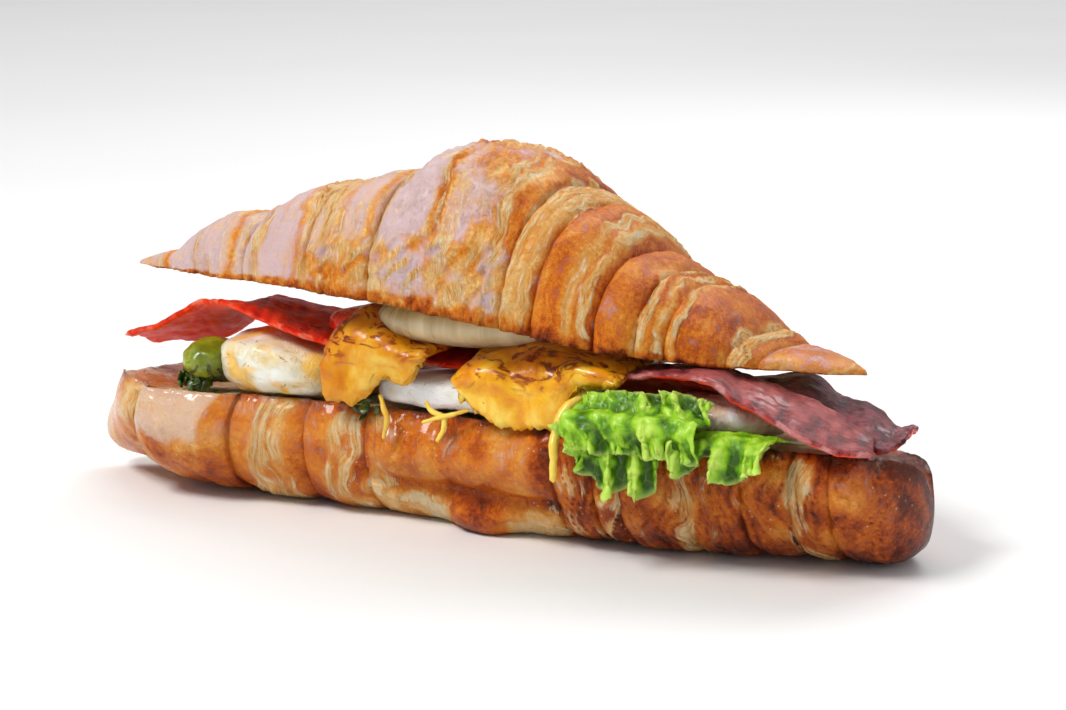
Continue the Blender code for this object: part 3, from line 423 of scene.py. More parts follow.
class Shader:
    """Short names for the shader nodes that the materials are made of."""

    def __init__(self, name):
        self.material = bpy.data.materials.new(name)
        self.material.use_nodes = True
        self.tree = self.material.node_tree
        self.surface = self.tree.nodes["Principled BSDF"]
        self.place = self.node("ShaderNodeTexCoord").outputs["Object"]

    def node(self, kind, inputs=(), **settings):
        """A node with its settings, and its inputs by number or name."""
        made = self.tree.nodes.new(kind)
        for key, value in settings.items():
            setattr(made, key, value)
        for key, value in dict(inputs).items():
            self.put(made.inputs[key], value)
        return made

    def put(self, socket, value):
        """Links a value to a socket, or sets it there if it is the same all over."""
        if isinstance(value, Tone):
            value = value.socket
        if isinstance(value, bpy.types.NodeSocket):
            self.tree.links.new(value, socket)
        else:
            socket.default_value = (*value, 1.0) if socket.type == "RGBA" else value

    def value(self, name):
        return Tone(self, self.node("ShaderNodeAttribute", attribute_name=name).outputs["Fac"])

    def vector(self, name):
        return self.node("ShaderNodeAttribute", attribute_name=name).outputs["Vector"]

    def stretched(self, vector, scale):
        return self.node("ShaderNodeMapping", {"Vector": vector, "Scale": scale}).outputs["Vector"]

    def noise(self, scale, detail=4.0, rough=0.6, vector=None, warp=0.0):
        made = self.node("ShaderNodeTexNoise", {"Vector": vector or self.place, "Scale": scale,
                                                "Detail": detail, "Roughness": rough, "Distortion": warp})
        return Tone(self, made.outputs["Fac"])

    def cells(self, scale, feature="F1", vector=None):
        inputs = {"Vector": vector or self.place, "Scale": scale}
        return Tone(self, self.node("ShaderNodeTexVoronoi", inputs, feature=feature).outputs["Distance"])

    def calc(self, operation, a, b):
        return Tone(self, self.node("ShaderNodeMath", {0: a, 1: b}, operation=operation).outputs[0])

    def span(self, value, low, high, to_low=0.0, to_high=1.0):
        """From to_low where the value is low to to_high where it is high, softly."""
        made = self.node("ShaderNodeMapRange", {"Value": value, "From Min": low, "From Max": high,
                                                "To Min": to_low, "To Max": to_high},
                         interpolation_type="SMOOTHSTEP")
        return Tone(self, made.outputs["Result"])

    def ramp(self, value, stops):
        made = self.node("ShaderNodeValToRGB", {"Fac": value})
        points = made.color_ramp.elements
        while len(points) < len(stops):
            points.new(0.5)
        for point, (position, colour) in zip(points, stops):
            point.position = position
            point.color = (*colour, 1.0)
        return made.outputs["Color"]

    def mix(self, share, a, b, blend="MIX"):
        inputs = {"Factor": share, 6: a, 7: b}
        return self.node("ShaderNodeMix", inputs, data_type="RGBA", blend_type=blend).outputs[2]

    def bump(self, height, distance, strength=1.0):
        inputs = {"Height": height, "Distance": distance, "Strength": strength}
        return self.node("ShaderNodeBump", inputs).outputs["Normal"]

    def finish(self, colour, rough, coat=(0.0, 0.03), shine=0.5, soft=0.0, reach=None, **more):
        """The material: coat is its weight and roughness, soft and reach say how light goes in."""
        sockets = {"Base Color": colour, "Roughness": rough, "Coat Weight": coat[0],
                   "Coat Roughness": coat[1], "Specular IOR Level": shine, "Subsurface Weight": soft, **more}
        if reach:
            sockets["Subsurface Radius"] = reach
            sockets["Subsurface Scale"] = 1.0
        for label, value in sockets.items():
            self.put(self.surface.inputs[label], value)
        return self.material


def crust_material(name, gloss, painted_sheen, sheen_tint, painted_glints, streaky):
    """Baked dough: browning, bare layers with fine lines, a painted pink sheen standing in for reflected
    light, cracks, pores, tiny blisters and painted white glints.
    """
    s = Shader(name)
    flow = s.vector("flow")
    lines = s.noise(1.0, 5.0, 0.65, s.stretched(flow, (1.5, 0.13, 1.0)), 0.35)
    hair = s.noise(1.0, 3.0, 0.6, s.stretched(flow, (4.6, 0.35, 1.0)), 0.2)
    mottle = s.noise(190.0, 6.0, 0.68, warp=0.8)
    broad = s.noise(65.0, 3.0, 0.5, warp=0.4)
    grain = s.noise(1000.0, 5.0, 0.8)
    flaky, crumb, bare, painted_sheen_mask = (s.value(label) for label in ("flaky", "crumb", "bare", "painted_sheen"))
    uneven = [tone - 0.5 for tone in (mottle, grain, lines)]

    def varied(value, *amounts):
        for amount, tone in zip(amounts, uneven):
            value = value + amount * tone
        return value

    colour = s.ramp(varied(s.value("bake") + 0.55 * (broad - 0.5), 0.7, 0.95, streaky), CRUST_TONES)
    # Painted sheen: a lavender-pink tint standing in for the sky's light reflected on the crust
    painted_sheen_share = s.span(varied(painted_sheen_mask, 1.7, 0.8, 0.9), 0.24, 0.95, 0.0, painted_sheen)
    colour = s.mix(painted_sheen_share, colour, sheen_tint)
    layers = s.ramp(0.7 * lines + 0.35 * hair + 0.2 * (grain - 0.5), FLAKE_TONES)
    shown = s.span(varied(bare, 1.3, 0.6, 0.9), 0.3, 0.85)
    colour = s.mix(shown, colour, layers)
    crack = abs(s.noise(200.0, 6.0, 0.7, warp=1.0) - 0.5)
    cracked = s.span(crack, 0.0, 0.012, 1.0, 0.0) * flaky
    colour = s.mix(0.32 * cracked, colour, (0.8, 0.3, 0.06))
    # Painted glints: tiny near-white spots standing in for sparkles of light on the wet crust
    painted_glint_dots = s.span(s.cells(480.0), 0.0, 0.16, painted_glints, 0.0)
    colour = s.mix(painted_glint_dots * s.span(broad, 0.45, 0.6), colour, (0.98, 0.92, 0.8))
    pores = s.cells(420.0, vector=s.stretched(s.place, (1.0, 0.7, 1.0)))
    colour = s.mix(crumb, colour, s.ramp(0.35 * pores + mottle, CRUMB_TONES))
    height = 1.7 * bare * (lines + 0.5 * hair) + 1.3 * grain + 1.3 * (flaky + 0.5) * mottle - 0.1 * cracked
    height = height - crumb * s.span(pores, 0.05, 0.45, 1.2, 0.0)
    rough = s.span(0.6 * grain + 0.5 * shown, 0.2, 0.9, gloss[0], gloss[1])
    rough = s.calc("MAXIMUM", rough, 0.85 * crumb)
    # Real coat gloss, stronger where the sheen is painted
    wet = gloss[2] * (0.3 + 0.7 * painted_sheen_mask) * (1.0 - crumb)
    return s.finish(colour, rough, (wet, gloss[3]), 0.12, Normal=s.bump(height, 0.00065))


def bacon_material(name, meat, fat, gloss):
    """Fried bacon: streaky meat, a pale bumpy rim of fat, thin white lines and wet spots; its underside
    painted bright red as if lit through the slice.
    """
    s = Shader(name + "_finish")
    mottle = s.noise(230.0, 5.0, 0.65, warp=0.8)
    fine = s.noise(900.0, 4.0, 0.65)
    tone = 0.55 * s.value("streak") + 0.45 * mottle
    colour = s.ramp(tone, tuple(zip((0.3, 0.48, 0.66), meat)))
    # Painted light: the underside brighter and redder, standing in for light shining through the slice
    painted_glow = s.ramp(tone, ((0.3, (0.92, 0.018, 0.002)), (0.7, (1.0, 0.09, 0.006))))
    colour = s.mix(0.9 * (1.0 - s.value("side")), colour, painted_glow)
    sinew = abs(s.noise(260.0, 5.0, 0.7, warp=1.6) - 0.5)
    colour = s.mix(s.span(sinew, 0.0, 0.012, 0.15, 0.0), colour, fat[1])
    rim = s.value("fat") + 1.1 * (fine - 0.5)
    colour = s.mix(s.span(rim, 0.35, 0.85), colour, s.ramp(mottle, tuple(zip((0.35, 0.62), fat))))
    grain = s.noise(1.0, 5.0, 0.7, s.stretched(s.place, (260.0, 900.0, 500.0)), 0.6)
    colour = s.mix(s.span(grain, 0.54, 0.72, 0.0, 0.3), colour, fat[0])
    colour = s.mix(s.span(grain, 0.46, 0.28, 0.0, 0.35), colour, (0.08, 0.004, 0.004))
    wet = s.span(s.noise(120.0, 3.0), 0.5, 0.65, 0.05, gloss)
    return s.finish(colour, s.span(mottle, 0.3, 0.7, 0.26, 0.48), (wet, 0.12), min(0.22, 0.6 * gloss),
                    0.35, (0.005, 0.0008, 0.0005), Normal=s.bump(mottle + 0.8 * grain, 0.0011))


def egg_material(name, whites, yolk_share, wet):
    """Fried egg: veined white, yellow patches away from the left end, toasted left rim, brown spots."""
    s = Shader(name + "_finish")
    mottle = s.noise(150.0, 5.0, 0.6, warp=0.8)
    fine = s.noise(750.0, 4.0, 0.65)
    left = s.value("left")
    colour = s.ramp(mottle, tuple(zip((0.32, 0.5, 0.66), whites)))
    yolk = s.noise(85.0, 3.0, 0.5, warp=0.5) - 0.22 * left
    colour = s.mix(s.span(yolk, 0.46, 0.6, 0.0, yolk_share), colour, (0.86, 0.5, 0.04))
    toast = left + 1.2 * (mottle - 0.5)
    colour = s.mix(s.span(toast, 0.72, 1.05, 0.0, 0.75), colour, (0.74, 0.33, 0.06))
    brown = s.span(s.noise(330.0, 4.0, 0.65, warp=1.0), 0.63, 0.7, 0.0, 0.85)
    colour = s.mix(brown, colour, (0.45, 0.17, 0.035))
    veins = s.span(abs(s.noise(140.0, 4.0, 0.6, warp=1.2) - 0.5), 0.0, 0.03)
    bump = s.bump(0.2 * veins + mottle + 0.3 * fine, 0.0006, 0.7)
    return s.finish(colour, s.span(mottle, 0.3, 0.7, 0.25, 0.42), (wet, 0.15), 0.3, 0.25,
                    (0.005, 0.0035, 0.0025), Normal=bump)


def cheese_material(name, level):
    """Melted cheese: deep yellow with toasted strokes on top, paler where it hangs, wet streaks."""
    s = Shader(name + "_finish")
    hang = s.value("hang")
    mottle = s.noise(140.0, 4.0, 0.6, warp=0.6)
    fine = s.noise(700.0, 4.0, 0.65)
    colour = s.ramp(0.8 * mottle + 0.16 * hang,
                    ((0.28, (0.5, 0.1, 0.001)), (0.42, (0.7, 0.24, 0.001)), (0.54, (0.82, 0.4, 0.004)),
                     (0.7, (0.9, 0.66, 0.12))))
    colour = s.mix(1.0, colour, level, "MULTIPLY")
    strokes = abs(s.noise(190.0, 3.0, 0.55, s.stretched(s.place, (0.45, 1.0, 1.3)), 0.8) - 0.5)
    patchy = s.span(s.noise(80.0, 3.0), 0.34, 0.46) * s.span(s.noise(330.0, 3.0), 0.42, 0.52)
    where = (1.0 - s.span(hang, 0.45, 0.95)) * patchy
    colour = s.mix(s.span(strokes, 0.0, 0.09, 0.85, 0.0) * where, colour, (0.55, 0.1, 0.004))
    colour = s.mix(s.span(strokes, 0.012, 0.055, 0.95, 0.0) * where, colour, (0.14, 0.014, 0.003))
    stray = s.span(s.noise(420.0, 3.0, 0.6, warp=0.5), 0.68, 0.72, 0.0, 0.8)
    colour = s.mix(stray, colour, (0.42, 0.1, 0.01))
    return s.finish(colour, s.span(fine, 0.3, 0.7, 0.25, 0.45), (0.35, 0.15), 0.25, 0.12,
                    (0.004, 0.002, 0.0006), Normal=s.bump(mottle + 0.25 * fine, 0.0004, 0.8))


def onion_material():
    """Cooked onion: fine veins along it, pale and moist."""
    s = Shader("cooked_onion")
    veins = s.noise(1.0, 4.0, 0.6, s.stretched(s.place, (330.0, 60.0, 25.0)), 0.3)
    colour = s.ramp(0.6 * veins + 0.4 * s.noise(60.0, 3.0),
                    ((0.3, (0.4, 0.29, 0.13)), (0.5, (0.6, 0.48, 0.27)), (0.68, (0.78, 0.68, 0.45))))
    return s.finish(colour, s.span(veins, 0.3, 0.7, 0.25, 0.38), (0.4, 0.15), soft=0.35,
                    reach=(0.006, 0.005, 0.003), Normal=s.bump(veins, 0.0004, 0.5))


def pepper_material(name, skin, deep, charred):
    """Grilled pepper: glossy skin, charred low down."""
    s = Shader(name + "_finish")
    soft = s.noise(90.0, 4.0, 0.6, warp=0.4)
    fine = s.noise(700.0, 4.0, 0.6)
    colour = s.mix(s.span(soft, 0.35, 0.65), deep, skin)
    burn = s.noise(300.0, 5.0, 0.7, warp=0.8) - 0.16 * charred * s.value("up")
    colour = s.mix(s.span(burn, 0.56, 0.64, 0.0, charred), colour, (0.022, 0.026, 0.01))
    return s.finish(colour, s.span(fine, 0.3, 0.7, 0.18, 0.4), (0.3, 0.2), soft=0.1,
                    reach=(0.003, 0.002, 0.001), Normal=s.bump(soft + 0.2 * fine, 0.0005, 0.6))


def lettuce_material():
    """Frilly lettuce: fresh green, painted shade darkening its hollows and painted light on its crests, thin
    yellow-green margin.
    """
    s = Shader("frilly_lettuce")
    cells = s.cells(300.0, "DISTANCE_TO_EDGE")
    soft = s.noise(260.0, 6.0, 0.66, warp=0.8)
    # Painted shade in the hollows and painted light on the crests, by how far each place stands out
    colour = s.ramp(0.5 * soft + 0.5 * s.value("painted_crest_light"),
                    ((0.3, (0.035, 0.11, 0.003)), (0.42, (0.12, 0.31, 0.005)),
                     (0.54, (0.29, 0.57, 0.012)), (0.7, (0.5, 0.74, 0.09))))
    colour = s.mix(s.span(cells, 0.0, 0.06, 0.12, 0.0), colour, (0.55, 0.72, 0.12))
    colour = s.mix(0.5 * s.value("margin"), colour, (0.62, 0.8, 0.16))
    bump = s.bump(0.25 * s.span(cells, 0.0, 0.25) + soft, 0.0006, 0.7)
    return s.finish(colour, s.span(soft, 0.3, 0.7, 0.26, 0.45), (0.2, 0.18), 0.25, 0.2,
                    (0.0008, 0.0018, 0.0003), Normal=bump)


def herb_material():
    """Dark chopped herbs, charred in places."""
    s = Shader("chopped_herbs")
    mottle = s.noise(500.0, 4.0, 0.65)
    colour = s.ramp(0.6 * s.value("tone") + 0.4 * mottle,
                    ((0.3, (0.012, 0.016, 0.006)), (0.5, (0.045, 0.085, 0.01)), (0.7, (0.16, 0.24, 0.03))))
    return s.finish(colour, s.span(mottle, 0.3, 0.7, 0.25, 0.5), (0.3, 0.15),
                    Normal=s.bump(mottle, 0.0003, 0.8))


def upper_cut(x, y):
    front = curve(x, UPPER_HALF)
    return curve(x, UPPER_RIM) - UPPER_TILT * np.minimum(1, front / 30) * (y + front)


def lower_cut(x, y):
    return FRONT_RIM - curve(x, LOWER_TILT) * (y - RIM_Y) - curve(x, LOWER_DROP)


def spread(ends, stations, steps):
    """Cross-sections evenly along, with some just at each side of the creases."""
    even = np.linspace(ends[0], ends[1], steps + 2)[1:-1]
    close = np.concatenate([np.array(stations) - 0.06, np.array(stations) + 0.06])
    close = close[(close > ends[0] + 0.2) & (close < ends[1] - 0.2)]
    return np.unique(np.concatenate([even, close]))


def streaks(flow_x, arc, wide, long, seed):
    """Soft noise drawn out along the rolls of dough."""
    return field(at(flow_x / wide, arc / long), 1.0, seed)


def ridged(values):
    """Sharp crests where soft noise passes through 0, from -1 to 1."""
    return 1 - 4 * np.minimum(np.abs(values), 0.5)


def shells(flow_x, arc, wide, long, seed):
    """Thin torn layers of dough, one over another: each shell's height, and how near its edge is."""
    return plates(at(flow_x / wide, arc / long), 1.0, seed)


def across_cut(points):
    """The cut between the crust's two rims: share of the way across, and x and y there."""
    A = np.tile(np.linspace(0, 1, int(46 * FINE) + 2)[1:-1], (len(points), 1))
    first, last = points[:, :1], points[:, -1:]
    X, Y = (last[..., k] + (first[..., k] - last[..., k]) * A for k in (0, 1))
    return A, X, Y


def bread_piece(name, points, cut, tips, values, flow, finish):
    """A bread half from the points and the values of its crust and of its cut, and its two tips."""

    def closed(crust, inner):
        tail = np.shape(inner)[2:]
        both = (np.broadcast_to(a, grid.shape[:2] + tail) for a, grid in ((crust, points), (inner, cut)))
        ring = np.concatenate(list(both), axis=1)
        return np.concatenate([ring.reshape(-1, *tail), [ring[0].mean(axis=0), ring[-1].mean(axis=0)]])

    vertex = {label: closed(*pair) for label, pair in values.items()}
    vertex["flow"] = closed(flow, at(cut[..., 0], cut[..., 1]))
    everything = closed(points, cut)
    everything[-2:] = tips
    faces = outward(everything, tube_faces(len(points), points.shape[1] + cut.shape[1]))
    add_piece(name + "_crust", everything, faces, vertex, finish, "croissant_" + name)


def upper_form(x, crust_count):
    """The upper half's crust before its fine relief, with what the relief is worked out from."""
    starts = [band[0] for band in UPPER_BANDS]
    S, T = np.meshgrid(x, np.linspace(0, np.pi, crust_count), indexing="ij")
    X = S - curve(S, UPPER_LEAN) * (1 - np.sin(T))
    front = curve(X, UPPER_HALF)
    back = front * UPPER_BACK_SHARE
    index, through = band_at(S, starts, UPPER_ENDS[1])
    first, last, swell = (np.array([band[k] for band in UPPER_BANDS])[index] for k in (2, 3, 4))
    rise = first + (last - first) * through + swell * np.sin(np.pi * through) - upper_cut(S, 0)
    rise = rise - 2.0 * (1 - pillow(through, 0.35)) * np.minimum(1, rise / 10)
    bulge = 1 + 0.07 * (pillow(through, 0.4) - 0.7)
    near = T < np.pi / 2
    half, wide, tall = np.where(near, front, back), np.where(near, 0.86, 0.95), np.where(near, 0.82, 1.0)
    Y = -half * bulge * signed_power(np.cos(T), wide)
    Z = upper_cut(X, Y) + rise * np.sin(T) ** tall
    low, high, edge, deep = APRON
    inside = np.clip(np.minimum((X - low) / 8, (high - X) / 8), 0, 1) * near
    edge += 0.022 * field(at(X, 0), 6, 15) + 0.006 * np.sin(X * 1.1)
    flap = inside / (1 + np.exp(np.clip((T / np.pi - edge) / 0.005, -50, 50)))
    Y = Y - deep * flap
    points = at(X, Y, Z)
    out = at(0, -np.cos(T), np.sin(T))
    rough = 0.5 * np.minimum(1, front / 15) * field(points, 10, 2)
    arc = T / np.pi * (front + rise) * 1.6
    return points + rough[..., None] * out, out, S, T, front, rise, through, flap, arc


def upper_half(finish):
    """The upper half: its form, then baking and relief by the rolls, the hump, the flap and the rim."""
    x = spread(UPPER_ENDS, [band[0] for band in UPPER_BANDS][1:], int(405 * FINE))
    points, out, S, T, front, rise, through, flap, arc = upper_form(x, int(164 * FINE))
    X = points[..., 0]
    flow_x = S + 1.6 * field(points, (8, 11, 11), 11) + 0.8 * field(points, (3, 4, 4), 12)
    flow_x += 1.2 * np.sin(T) * smooth(-X, -20, 60)
    bake, bare, painted_sheen = zoned(flow_x, UPPER_BAKE, 0.45)
    soft = zoned(flow_x, UPPER_BAKE, 1.2)
    left = 1 - smooth(X, 14, 24)
    bake, bare, painted_sheen = (a + (b - a) * left for a, b in zip((bake, bare, painted_sheen), soft))
    thin = np.minimum(1, front / 8) * np.minimum(1, rise / 6)

    # Streaks along the rolls: orange ones in the pale layers, pale ones in the brown
    broad = streaks(flow_x, arc, 3.4, 16, 61)
    fine = streaks(flow_x, arc, 1.3, 20, 62)
    hair = streaks(flow_x, arc, 0.65, 12, 63)
    bare = np.clip(bare + (1.0 * broad + 0.5 * fine) * smooth(bare, 0.05, 0.3), 0, 1)
    bake += 0.14 * broad + 0.16 * fine
    painted_sheen += 0.5 * fine * painted_sheen
    height, gap = shells(flow_x, arc, 2.2, 15, 3.0)
    relief = -0.45 + bare * (0.45 * ridged(fine) + 0.22 * ridged(hair) + 0.6 * (height - 0.5))
    relief += (1 - bare) * (0.35 * field(points, 4, 64) + 0.2 * ridged(broad))
    relief += 0.1 * field(points, 0.9, 60)
    bake += 0.16 * bare * smooth(gap, 0.1, 0.0)

    # The hump's blistered front, with a torn ridge down its middle
    hump = smooth(X, -13.5, -10) * smooth(X, 21, 17) * smooth(T, 0.28, 0.5) * smooth(T, 2.8, 2.2)
    scale, crack = plates(points + 1.6 * field(points, 3, 65)[..., None], (4.0, 6.5, 5.0), 3.0)
    torn = X - 3.0 - 1.6 * field(points, 4, 66) + 1.0 * np.sin(T * 9)
    relief += hump * (0.4 * (scale - 0.5) * smooth(crack, 0.0, 0.4) + 0.6 * smooth(torn, 0.3, -0.3))
    relief += hump * (0.4 * field(points, 1.6, 67) + 0.45 * field(points, 3.2, 59))
    high_right = smooth(X, 5, 9) * smooth(X, 20, 17) * smooth(T, 0.75, 1.05)
    bake += hump * (0.3 * spot(torn, 0.5, 0.7) + 0.12 * (scale - 0.5) + 0.12 * high_right)
    bake += hump * 0.1 * smooth(crack, 0.05, 0.0) * smooth(field(points, 8, 68), -0.1, 0.2)
    patch = field(points, (5, 7, 6), 57)
    bare = np.clip(bare + hump * 0.55 * patch, 0, 1)
    # Painted sheen in patches over the hump, less on its orange upper right
    painted_sheen = painted_sheen * (1 - 0.6 * hump * high_right) + hump * 0.5 * field(points, (6, 8, 7), 56)

    # The flap below the hump: a cream and orange edge, blisters under a painted pink sheen
    scale, crack = plates(points + 1.2 * field(points, 2, 69)[..., None], (5.0, 6.0, 3.4), 8.0)
    slant = streaks(X - 0.9 * points[..., 2], points[..., 2] + 0.9 * X, 2.2, 9, 55)
    relief += flap * (0.5 * (scale - 0.5) * smooth(crack, 0, 0.35) + 0.3 * field(points, 1.5, 70))
    relief += flap * 0.35 * ridged(slant)
    bare = np.clip(bare * (1 - flap) + flap * (0.4 + 1.3 * slant + 0.6 * field(points, 3, 58)), 0, 1)
    bake = bake * (1 - flap) + flap * (0.31 + 0.06 * smooth(crack, 0.08, 0.0) - 0.25 * slant)
    painted_sheen = painted_sheen * (1 - flap) + flap * (0.45 + 1.0 * field(points, 5, 71))

    # Scorched, crumbly line along the cut, and painted shade darkening the creases between the rolls
    under = np.minimum(T, np.pi - T)
    scorch = 1 - smooth(under + 0.035 * field(points, 2.5, 72), 0.012, 0.07)
    bake += 0.34 * scorch * (0.8 + 1.1 * field(points, 1.8, 73))
    bare, painted_sheen = bare * (1 - 0.85 * scorch), painted_sheen * (1 - scorch)
    relief += scorch * (0.95 * field(points, 1.3, 74) - 0.1)
    crease = 1 - pillow(through, 0.35)
    # Painted shade: darker in the creases
    bake += (0.34 * crease ** 8 + 0.04 * crease) * np.minimum(1, rise / 12)
    relief = relief - 0.5 * crease ** 4
    points += (relief * thin)[..., None] * out

    A, XC, YC = across_cut(points)
    hollow = UPPER_HOLLOW * np.sin(np.pi * A) ** 0.8 * np.minimum(1, front[:, :1] / 34) ** 2
    cut = at(XC, YC, upper_cut(XC, YC) + hollow)
    cut[..., 2] += 0.4 * field(at(XC, YC), 8, 7)
    cut[..., 2] += 0.35 * field(cut, 1.6, 75) * np.minimum(1, front[:, :1] / 8)
    tips = [(end, 0, curve(end, UPPER_RIM)) for end in UPPER_ENDS]
    rim = np.minimum(A, 1 - A)
    flaky = np.clip(0.25 + 0.25 * left + 0.45 * hump + flap + 0.5 * bare + scorch, 0, 1)
    values = {"bake": (bake, 0.7 + 0.25 * smooth(rim, 0.08, 0)), "bare": (bare, 0), "painted_sheen": (painted_sheen, 0),
              "flaky": (flaky, 0), "crumb": (0, smooth(rim, 0.01, 0.06))}
    bread_piece("upper", points, cut, tips, values, at(flow_x, arc), finish)


def roll(X, turned):
    """How far the thick roll along the front stands out, less the groove under it."""
    start, end, stand, groove = ROLL
    share = np.clip(np.minimum((X - start) / 7, (end - X) / 5), 0, 1)
    return share * (stand * spot(turned, 0.19, 0.13) - groove * spot(turned, 0.43, 0.075))


def lower_form(station, crust_count):
    """The lower half's crust before its fine relief, with what the relief is worked out from."""
    S, L = np.meshgrid(station, np.linspace(0, 1, crust_count), indexing="ij")
    X = S - curve(S, LOWER_LEAN) * FRONT_RIM * np.sin(np.pi * L) ** 0.6
    front, back = curve(X, LOWER_FRONT), curve(X, LOWER_BACK)
    foot, heel, lift = curve(X, LOWER_FOOT), curve(X, LOWER_HEEL), curve(X, LOWER_LIFT)
    near = L < 0.5
    side = np.where(near, -1, 1)
    edge, inner = np.where(near, front, back), np.where(near, foot, heel)
    turn = np.pi / 2 * np.minimum(1, np.minimum(L, 1 - L) / CORNER_SHARE)
    turned = turn / (np.pi / 2)
    rim = lower_cut(X, edge)
    tuck = 1 - curve(X, LOWER_TUCK) * (1 - np.sin(turn)) ** 2
    Y = inner + (edge - inner) * signed_power(np.cos(turn), 0.92) * tuck
    Z = rim - (rim - lift) * np.sin(turn) ** 0.95
    index, through = band_at(S, [start for start, _ in LOWER_BANDS], LOWER_ENDS[1])
    taper = np.minimum(1, (back - front) / 40)
    middle, length, height, tall, deep = KNOB
    away = np.abs(2 * (X - middle) / length / 1.2) ** 3 + np.abs(2 * (Z - height) / tall / 1.2) ** 3
    knob = np.exp(-away) * near
    out = np.array([amount for _, amount in LOWER_BANDS])[index]
    out = out - CREASE_DEPTH * (1 - pillow(through, 0.4)) * np.sin(turn) ** 0.3
    out = out - SHOULDER[0] * np.clip(1 - turned / SHOULDER[1], 0, 1) ** 2
    out = taper * (out + 1.5 * np.sin(2 * turn) + 0.5 * field(at(X, Y, Z), 14, 5))
    out += (deep * knob + roll(X, turned)) * near
    flat = (L > CORNER_SHARE) & (L < 1 - CORNER_SHARE)
    base_y = foot + (heel - foot) * (L - CORNER_SHARE) / (1 - 2 * CORNER_SHARE)
    Y = np.where(flat, base_y, Y + side * out * np.cos(turn))
    Z = np.where(flat, lift, np.maximum(Z - out * np.sin(turn) * 0.6, lift))
    points = at(X, Y, Z)
    push = at(np.zeros_like(X), side * np.cos(turn), -0.6 * np.sin(turn))
    arc = np.minimum(L, 1 - L) * 90
    return points, push, S, arc, turn, turned, through, taper, near, knob, rim - Z, lift


